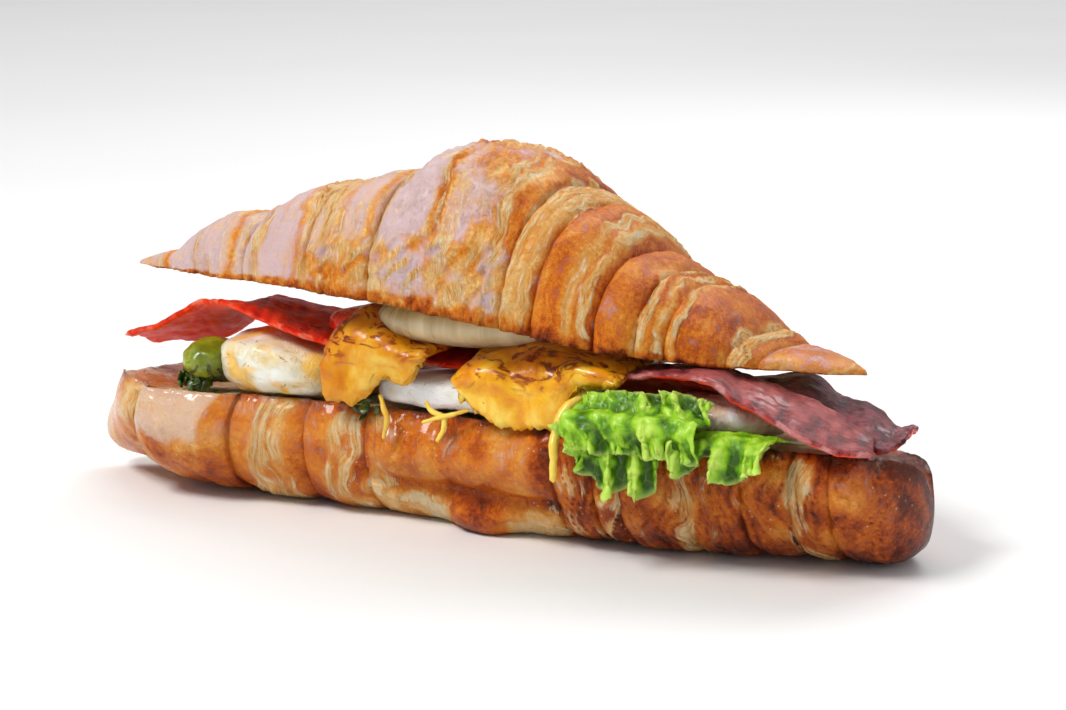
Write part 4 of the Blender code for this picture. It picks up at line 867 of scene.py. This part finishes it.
def lower_half(finish):
    """The lower half: its form, then baking and relief by the bands, the roll, the rim and the base."""
    station = spread(LOWER_ENDS, [start for start, _ in LOWER_BANDS][1:], int(400 * FINE))
    form = lower_form(station, int(170 * FINE))
    points, push, S, arc, turn, turned, through, taper, near, knob, depth, lift = form
    X = points[..., 0]
    flow_x = S + 3.6 * field(points, (11, 11, 11), 81) + 1.4 * field(points, (4, 5, 5), 82)
    bake, bare, painted_sheen = zoned(flow_x, LOWER_BAKE, 1.2)
    right = smooth(X, 26, 32)
    broad = streaks(flow_x, arc, 3.0, 22, 83)
    fine = streaks(flow_x, arc, 1.4, 26, 84)
    wrinkle = smooth(ridged(streaks(flow_x, arc, 2.4, 45, 85)), 0.72, 0.97) * (0.2 + 0.8 * right)
    lump = field(points, (6, 7, 6), 78)
    bake += 0.05 + 0.04 * smooth(X, -50, -40) + 0.05 * smooth(X, 20, 30)
    bake += 0.07 * broad + 0.07 * fine + 0.14 * wrinkle + 0.26 * lump
    bare = np.clip(bare + (1.1 * broad - 0.9 * lump) * smooth(bare, 0.05, 0.3) - 0.5 * wrinkle, 0, 1)
    relief = -0.35 + bare * 0.38 * ridged(fine) + 0.35 * field(points, 4.5, 86) - 0.5 * wrinkle - 0.5 * lump
    # Painted shade from the bacon: darker just below the cut at the right end
    painted_bacon_shade = smooth(X, 62, 68) * (1 - smooth(depth + field(points, 4, 77), 1.0, 4.0))
    bake += 0.24 * painted_bacon_shade
    relief += 0.28 * field(points, 1.9, 87) + 0.35 * broad * right + 0.12 * field(points, 0.9, 80)

    # Painted shade, darker towards the base and in the groove under the roll; less painted sheen low down; a
    # pale flaky belly under the roll
    painted_shade_low = smooth(depth, 12, 22)
    bake += 0.1 * painted_shade_low * smooth(-X, -5, 40) + 0.1 * painted_shade_low * right
    painted_sheen = painted_sheen * (1 - smooth(depth + 2 * field(points, 5, 88), 8, 15))
    along_roll = smooth(X, -20, -13) * smooth(X, 31, 27) * near
    groove = along_roll * spot(turned, 0.43, 0.075)
    belly = along_roll * smooth(turned, 0.44, 0.52) * (1 - knob)
    height, gap = plates(points + 1.5 * field(points, 3, 89)[..., None], (6.0, 6.0, 3.5), 5.0)
    bake = bake * (1 - belly) + belly * (0.34 + 0.3 * (height - 0.5))
    bare = np.clip(bare * (1 - belly) + belly * smooth(height, 0.35, 0.7), 0, 1)
    relief += belly * 0.6 * (height - 0.5) * smooth(gap, 0, 0.1)
    # Painted shade in the groove under the roll; the knob's own darker brown
    bake += 0.14 * groove + 0.26 * knob * smooth(knob, 0.2, 0.6)
    bare = bare * (1 - knob)
    # Painted sheen along the top of the roll, where it faces the light
    painted_sheen_on_roll = along_roll * spot(turned, 0.12, 0.1)
    painted_sheen += 0.25 * painted_sheen_on_roll * smooth(field(points, 5, 79), -0.1, 0.25)

    scorch = 1 - smooth(depth + 1.0 * field(points, 2.5, 90), 0.5, 2.0)
    bake += 0.22 * scorch * (0.8 + 0.8 * field(points, 2, 91))
    bare = bare * (1 - 0.85 * scorch)
    relief += scorch * 0.6 * field(points, 1.3, 92)
    sole = smooth(np.sin(turn), 0.93, 1.0)
    bake += 0.22 * sole * (0.6 + field(points, 12, 93))
    dark_end = 0.5 * smooth(X, 98, 103) + smooth(X, 84, 98) * smooth(depth, 14, 23)
    bake += 0.15 * np.clip(dark_end, 0, 1)
    # Painted shade: darker in the creases between the bands
    crease = 1 - pillow(through, 0.35)
    bake += (0.3 * crease ** 8 + 0.04 * crease) * taper * (1 - 0.7 * along_roll * (turned < 0.4))
    relief = relief * taper * (1 - np.clip(sole * 1.1, 0, 1))
    points += relief[..., None] * push
    points[..., 2] = np.maximum(points[..., 2], lift)

    A, _, YC = across_cut(points)
    XC = station[:, None] + 0 * A
    ZC = lower_cut(XC, YC) - (1.6 * smooth(XC, -88, -72) - 0.4) * np.sin(np.pi * A) ** 0.5
    cut = at(XC, YC, ZC + 0.5 * field(at(XC, YC), 9, 3))
    wide = points[:, :1, 1] - points[:, -1:, 1]
    cut[..., 2] += 0.3 * field(cut, 1.7, 94) * np.minimum(1, np.abs(wide) / 20)
    middles = [np.concatenate([points[k], cut[k]]).mean(axis=0) for k in (0, -1)]
    tips = [(end, *middle[1:]) for end, middle in zip(LOWER_ENDS, middles)]
    rim = np.minimum(A, 1 - A)
    left_end = smooth(XC, -72, -80)
    end_crust = np.maximum(smooth(XC, -66, -74), smooth(XC, 82, 90))
    flaky = np.clip(0.1 + 0.6 * belly + 0.4 * bare + 0.5 * scorch + 0.3 * right, 0, 1)
    values = {"bake": (bake, 0.6 + 0.3 * smooth(XC, 84, 98) + 0.2 * smooth(rim, 0.06, 0)),
              "bare": (bare, 0.4 * left_end), "painted_sheen": (painted_sheen, 0.6 * left_end), "flaky": (flaky, 0),
              "crumb": (0, smooth(rim, 0.01, 0.06) * (1 - end_crust))}
    bread_piece("lower", points, cut, tips, values, at(flow_x, arc), finish)


def edge_line(stations, share):
    """Points along a smooth line through stations, by the share of the way along."""
    places = np.linspace(0, 1, len(stations))
    return np.stack([curve(share, np.column_stack([places, axis])) for axis in np.array(stations).T], -1)


def bacon_piece(name, finish):
    """A slice between its two edges, with waves, folds, ragged rims, fat and streaks."""
    near, far, waves, height = BACON[name]
    U, V = shares(130, 50)
    grid = edge_line(near, U) * (1 - V)[..., None] + edge_line(far, U) * V[..., None]
    grid[..., 1] += 0.9 * field(at(U * 60, V * 3), 4, waves) * (1 - 2 * V)
    grid[..., 2] += height * np.sin(math.tau * waves * U + 2.2 * V) * (0.4 + 0.6 * V)
    grid[..., 2] += 0.9 * np.sin(np.pi * V)
    sheet_at = at(U * (near[-1][0] - near[0][0]), V * 22)
    grid[..., 2] += 0.45 * field(sheet_at, (9, 5, 5), 81) + 0.22 * field(sheet_at, 2.2, 82)
    grid[..., 1] += 0.45 * field(sheet_at, 1.8, 83) * smooth(np.minimum(V, 1 - V), 0.08, 0)
    thick = BACON_THICK * (0.75 + 0.25 * field(sheet_at, 2.5, 84)) * rim_profile(U, V, (0.015, 0.05))
    streak = field(sheet_at, (2.4, 7, 5), 85 + waves) + 0.5 * field(sheet_at, (0.9, 3, 5), 86 + waves)
    patchy = np.clip(0.55 + 0.9 * field(sheet_at, 3.5, 87 + waves), 0, 1)
    values = {"fat": smooth(V + 0.02 * streak, 0.06, 0.015) * patchy, "streak": streak * 0.5 + 0.5}
    sheet_piece(name + "_slice", grid, thick, values, finish, name)


def ball(rings, around):
    """Ways out from a centre, in rings between two poles that come last, and the faces between them."""
    P, T = np.meshgrid(np.linspace(0, np.pi, rings + 2)[1:-1],
                       np.linspace(0, math.tau, around, endpoint=False), indexing="ij")
    ways = at(np.cos(P), np.sin(P) * np.cos(T), np.sin(P) * np.sin(T)).reshape(-1, 3)
    return np.concatenate([ways, [(1, 0, 0), (-1, 0, 0)]]), tube_faces(rings, around)


def lump_piece(name, finish, rough, sink=0.0):
    """A rounded lump as its solid has, with finer unevenness; its right part may lie lower by sink."""
    centre, half, roundness, lump = LUMPS[name]
    way, faces = ball(int(90 * FINE), int(112 * FINE))
    reach = (np.abs(way) ** roundness).sum(axis=1) ** (-1 / roundness)
    local = way * reach[:, None] * half
    for size, amount, seed in [(7, lump, 0), *((size, amount, size) for size, amount in rough)]:
        local += way * (amount * field(local, size, seed + half[0]))[:, None]
    points = local + centre
    points[:, 2] += lower_cut(points[:, 0], points[:, 1])
    points[:, 2] -= sink * smooth(points[:, 0], -46, -32) * smooth(points[:, 2], 26, 36)
    values = {"up": way[:, 2], "left": -way[:, 0]}
    add_piece(name + "_look", points, outward(points, faces), values, finish, name)


def cheese_grid(name):
    """A slice's points as it melts over the front: across the top first, then down to its hem."""
    reach, top, low, front, seed = CHEESE[name]
    U, V = shares(128, 92)
    ragged = 1.6 * field(at(U * 9, V * 9), 2.5, seed) * (1 - 4 * V * (1 - V))
    X = reach[0] + (reach[1] - reach[0]) * U + 1.5 * (2 * U - 1) * np.sin(np.pi * V) + ragged
    height, hem = curve(X, top), curve(X, low) + ragged
    over = V < 0.5
    t = np.where(over, V, V - 0.5) / 0.5
    Y = np.where(over, CHEESE_BACK_Y + (front + 11 - CHEESE_BACK_Y) * t,
                 front + 11 - 11 * np.sin(np.pi / 2 * np.minimum(1, t * 1.6)))
    Z = np.where(over, height - 2.5 * (1 - t) ** 2,
                 height - (height - hem) * (1 - np.cos(np.pi / 2 * t)) ** 0.9)
    grid = at(X, Y, Z)
    grid[..., 2] += 0.7 * field(grid, 5, seed)
    return U, V, grid


def strand_parts(stations, thickness, count=60, around=12):
    """Points and faces of a thin rounded strand along a line."""
    share = np.linspace(0, 1, count)
    line = edge_line(stations, share)
    line[:, 0] += 0.25 * field(line, 2.0, 95)
    ahead = np.gradient(line, axis=0)
    ahead /= np.linalg.norm(ahead, axis=1, keepdims=True)
    side = np.cross(ahead, (0.0, -1.0, 0.2))
    side /= np.linalg.norm(side, axis=1, keepdims=True)
    up = np.cross(side, ahead)
    radius = thickness * (1 - 0.35 * np.abs(2 * share - 1)) * (1 + 0.25 * field(line, 1.5, 96))
    turn = np.linspace(0, math.tau, around, endpoint=False)[None, :, None]
    way = np.cos(turn) * side[:, None] + np.sin(turn) * up[:, None]
    ring = line[:, None] + radius[:, None, None] * way
    points = np.concatenate([ring.reshape(-1, 3), line[:1], line[-1:] + ahead[-1:] * thickness * 0.5])
    return points, outward(points, tube_faces(count, around))


def cheese_piece(name, finish, strands):
    """A melted slice with ragged rims and dents, and its strands as pieces of their own."""
    U, V, grid = cheese_grid(name)
    seed = CHEESE[name][4]
    place = at(grid[..., 0], V * 45)
    ragged = 0.9 * field(place, 1.6, seed + 3) + 0.5 * field(place, 0.8, seed + 4)
    grid[..., 2] += ragged * smooth(np.abs(2 * V - 1), 0.8, 1)
    grid[..., 0] += 0.8 * field(place, 2.0, seed + 8) * smooth(np.abs(2 * U - 1), 0.85, 1)
    bulk = sum(amount * field(place, size, seed + more)
               for size, amount, more in ((7, 0.9, 5), (2.6, 0.22, 6), (1.0, 0.05, 9)))
    grid += normals_of(grid) * bulk[..., None]
    thick = CHEESE_THICK * (0.85 + 0.25 * field(place, 5, seed + 7)) * rim_profile(U, V, (0.05, 0.04))
    values = {"hang": smooth(V, 0.5, 0.95)}
    sheet_piece(name + "_melt", grid, thick, values, finish, name)
    for number, (stations, thickness) in enumerate(strands, 1):
        points, faces = strand_parts(stations, thickness)
        values = {"hang": np.full(len(points), 1.9)}
        add_piece(f"{name}_strand_{number}", points, faces, values, finish, name)


def frills(along, v, seed):
    """A leaf's ruffles in three sizes, growing towards its margin, with the rounded lobes of the margin."""
    line = at(along[:, 0], 0)
    bend = [field(line, size, seed + size)[:, None] for size in (12.0, 6.0, 3.0, 2.0)]
    swirl = field(at(along / 5, 2.0 * v), 1.0, seed + 5)
    wide = math.tau * (along / 9.0 + 0.8 * bend[0] + seed) + 0.9 * v
    second = math.tau * (along / 4.3 + 0.9 * bend[1]) + 2.4 * v + 2.5 * swirl
    third = math.tau * (along / 1.9 + 0.7 * bend[2]) + 2.0 * v + 3.5 * swirl
    uneven = 1.1 + 1.8 * bend[2]
    out = 1.4 * v * np.sin(wide) + uneven * v ** 2 * np.sin(second) + 0.65 * v ** 4 * np.sin(third)
    sideways = 0.9 * v * np.cos(wide) + 0.9 * v ** 2 * np.cos(second) + 0.5 * v ** 4 * np.cos(third)
    tooth = np.abs(np.sin(math.tau * (along / 2.6 + 1.4 * bend[3])))
    lobes = (0.7 + 0.9 * bend[1]) * np.abs(np.sin(second / 2)) ** 0.6 + 0.35 * np.abs(np.sin(third / 2))
    lobes += 0.35 * tooth + 0.8 * bend[2] + 0.4 * bend[3]
    return out, sideways, lobes


def leaf_piece(name, grid, puff, seed, U, V, margin, painted_crest_light, finish):
    """A leaf's sheet with its puffed skin, its pale margin, and how far each place stands out, which sets
    its painted light and shade.
    """
    grid += normals_of(grid) * puff[..., None]
    thick = LEAF_THICK * (0.62 + 0.2 * field(grid, 3, seed)) * rim_profile(U, V, (0.01, 0.03))
    values = {"margin": margin, "painted_crest_light": smooth(painted_crest_light, -2.4, 2.4)}
    sheet_piece(name + "_look", grid, thick, values, finish, name)


def puckers(points, seed):
    """How far the skin of a leaf puffs out."""
    return 0.75 * field(points, 3.2, seed) + 0.4 * field(points, 1.5, seed + 1)


def hanging_leaf(finish):
    """The leaf that lies on the lower half and hangs over its front rim."""
    U, V = shares(380, 84)
    X = LEAF_X[0] + (LEAF_X[1] - LEAF_X[0]) * U
    rim, hem = curve(X, LOWER_FRONT), curve(X, LEAF_HEM)
    t = np.clip(V / LEAF_INSIDE, 0, 1)
    s = np.clip((V - LEAF_INSIDE) / (1 - LEAF_INSIDE), 0, 1)
    out, sideways, teeth = frills(X, 0.25 * t + 0.75 * s, 0.3)
    y_in = -14 + (rim - 1.5 + 14) * t
    z_in = lower_cut(X, y_in) + 1.0 + 2.6 * t * t + 0.4 * np.abs(out) * t
    turn = np.sin(np.pi / 2 * np.minimum(1, s * 2.0))
    top = FRONT_RIM + 3.6 + 0.4 * np.abs(out) * (1 - s)
    y_out = rim - 1.5 - 4.8 * turn - 3.2 * np.tanh(out / 3.2) * smooth(s, 0, 0.3)
    z_out = top - (top - hem - 0.9) * s ** 1.25 - 1.3 * (teeth - 0.5) * s ** 4
    inside = V < LEAF_INSIDE
    x_all = X + np.where(inside, 0.3 * sideways * t, sideways * (0.3 + 0.7 * s))
    grid = at(x_all, np.where(inside, y_in, y_out), np.where(inside, z_in, z_out))
    puff = puckers(grid, 124) * smooth(V, 0.1, 0.5)
    # Painted light and shade by how far each ruffle stands out and how the skin puckers
    leaf_piece("lettuce_leaf", grid, puff, 103, U, V, smooth(V, 0.93, 1.0), out - 1.6 * puff, finish)


def curled_leaf(finish):
    """The leaf that curls up on top, with a calm cup at the left of its upper part, darkened by painted
    shade.
    """
    U, V = shares(300, 92)
    X = CURL_X[0] + (CURL_X[1] - CURL_X[0]) * U
    stand, height = np.moveaxis(edge_line(CURL_PATH, V), -1, 0)
    margin = np.abs(2 * V - 1)
    out, sideways, teeth = frills(X + 9 * V, 0.15 + 0.85 * margin, 0.75)
    cup = smooth(U, 0.62, 0.4) * smooth(V, 0.45, 0.75)
    out, teeth = out * (1 - 0.8 * cup), teeth * (1 - 0.6 * cup)
    front = curve(X, LOWER_FRONT)
    lobes = 0.3 * out * margin + (teeth - 0.5) * np.sign(2 * V - 1) * margin ** 4
    grid = at(X + 0.8 * sideways, np.maximum(front + stand - 0.9 * out, front - 10.6),
              height + (curve(X, CURL_TOP) - CURL_PATH[-1][1]) * V * V + lobes * (1 - 0.35 * V))
    puff = puckers(grid, 134)
    # Painted shade in the cup and the hollows, painted light where the leaf stands out and puffs
    painted_crest_light = out - 0.7 * cup * smooth(V, 0.97, 0.85) + 1.6 * puff
    leaf_piece("lettuce_curl", grid, puff, 113, U, V, smooth(margin, 0.9, 1.0), painted_crest_light, finish)


def herb_piece(name, middle, reach, count, size, finish, node):
    """Chopped herbs lying in a heap: many small crumpled flakes made as one piece."""
    way, one = ball(7, 10)
    one = outward(way, one)
    chance = np.random.default_rng(count)
    points, faces = [], []
    for number in range(count):
        spin, _ = np.linalg.qr(chance.normal(size=(3, 3)))
        shape = size * chance.uniform(0.6, 1.3) * np.array((1.0, chance.uniform(0.4, 0.8), 0.16))
        flake = way * shape
        flake += way * (0.3 * size * field(flake + 9 * number, size, 97))[:, None]
        centre = np.array(middle) + chance.normal(size=3) * reach
        faces += [[i + number * len(way) for i in face] for face in one]
        points.append(flake @ spin.T + centre)
    points = np.concatenate(points)
    add_piece(name, points, faces, {"tone": field(points, 2.0, 98) * 0.5 + 0.5}, finish, node)


def aimed(name, data, azimuth, elevation, distance, aim):
    """Puts a camera or a light round a point, looking at it."""
    a, e = math.radians(azimuth), math.radians(elevation)
    toward = Vector((math.sin(a) * math.cos(e), -math.cos(a) * math.cos(e), math.sin(e)))
    holder = bpy.data.objects.new(name, data)
    bpy.context.scene.collection.objects.link(holder)
    holder.location = Vector(aim) + toward * distance
    holder.rotation_euler = (-toward).to_track_quat("-Z", "Y").to_euler()
    return holder


def set_camera():
    lens = bpy.data.cameras.new("photo_camera")
    lens.sensor_width = SENSOR
    lens.lens = FOCAL_PX / PHOTO_WIDE * SENSOR
    lens.clip_start = 0.01
    aim = Vector(TARGET) + Vector(SHIFT * MM)
    bpy.context.scene.camera = aimed("photo_camera", lens, AZIMUTH, ELEVATION, DISTANCE, aim)


def set_light():
    for name, (azimuth, elevation, distance, size, power, colour, aim) in LIGHTS.items():
        light = bpy.data.lights.new(name, "AREA")
        light.size = size
        light.energy = power
        light.color = colour
        aimed(name, light, azimuth, elevation, distance, aim)
    world = bpy.data.worlds.new("studio")
    world.use_nodes = True
    back = world.node_tree.nodes["Background"]
    back.inputs["Color"].default_value = (1.0, 1.0, 1.0, 1.0)
    back.inputs["Strength"].default_value = SKY_STRENGTH
    bpy.context.scene.world = world
    bpy.context.scene.view_settings.view_transform = "Standard"


def pale_floor():
    mesh = bpy.data.meshes.new("floor")
    corners = ((-1, -1), (1, -1), (1, 1), (-1, 1))
    mesh.from_pydata([(FLOOR_REACH * x, FLOOR_REACH * y, 0) for x, y in corners], [], [(0, 1, 2, 3)])
    s = Shader("pale_floor")
    tone = s.ramp(s.noise(3.0, 2.0), ((0.3, (0.83, 0.83, 0.83)), (0.7, (0.86, 0.86, 0.86))))
    mesh.materials.append(s.finish(tone, 0.9))
    floor = bpy.data.objects.new("floor", mesh)
    bpy.context.scene.collection.objects.link(floor)


set_camera()
set_light()
pale_floor()

# The crusts: roughness low and high, coat and its roughness; painted sheen and its tint; painted glints;
# streaks
upper_half(crust_material("upper_crust", (0.45, 0.75, 0.3, 0.3), 0.95, (0.8, 0.59, 0.61), 0.0, 0.45))
lower_half(crust_material("lower_crust", (0.26, 0.6, 0.85, 0.13), 0.85, (0.9, 0.64, 0.46), 0.7, 0.2))
for name, (meat, fat, gloss) in BACON_FINISH.items():
    bacon_piece(name, bacon_material(name, meat, fat, gloss))
for name, (whites, yolk_share, wet, rough, sink) in EGG_FINISH.items():
    lump_piece(name, egg_material(name, whites, yolk_share, wet), rough, sink)
lump_piece("onion", onion_material(), ((4.0, 0.1),))
for name, (skin, deep, charred, rough) in PEPPER_FINISH.items():
    lump_piece(name, pepper_material(name, skin, deep, charred), rough)
for name, (level, strands) in CHEESE_FINISH.items():
    cheese_piece(name, cheese_material(name, level), strands)
herbs = herb_material()
for name, (middle, reach, count, size, node) in HERBS.items():
    herb_piece(name, middle, reach, count, size, herbs, node)
lettuce = lettuce_material()
hanging_leaf(lettuce)
curled_leaf(lettuce)
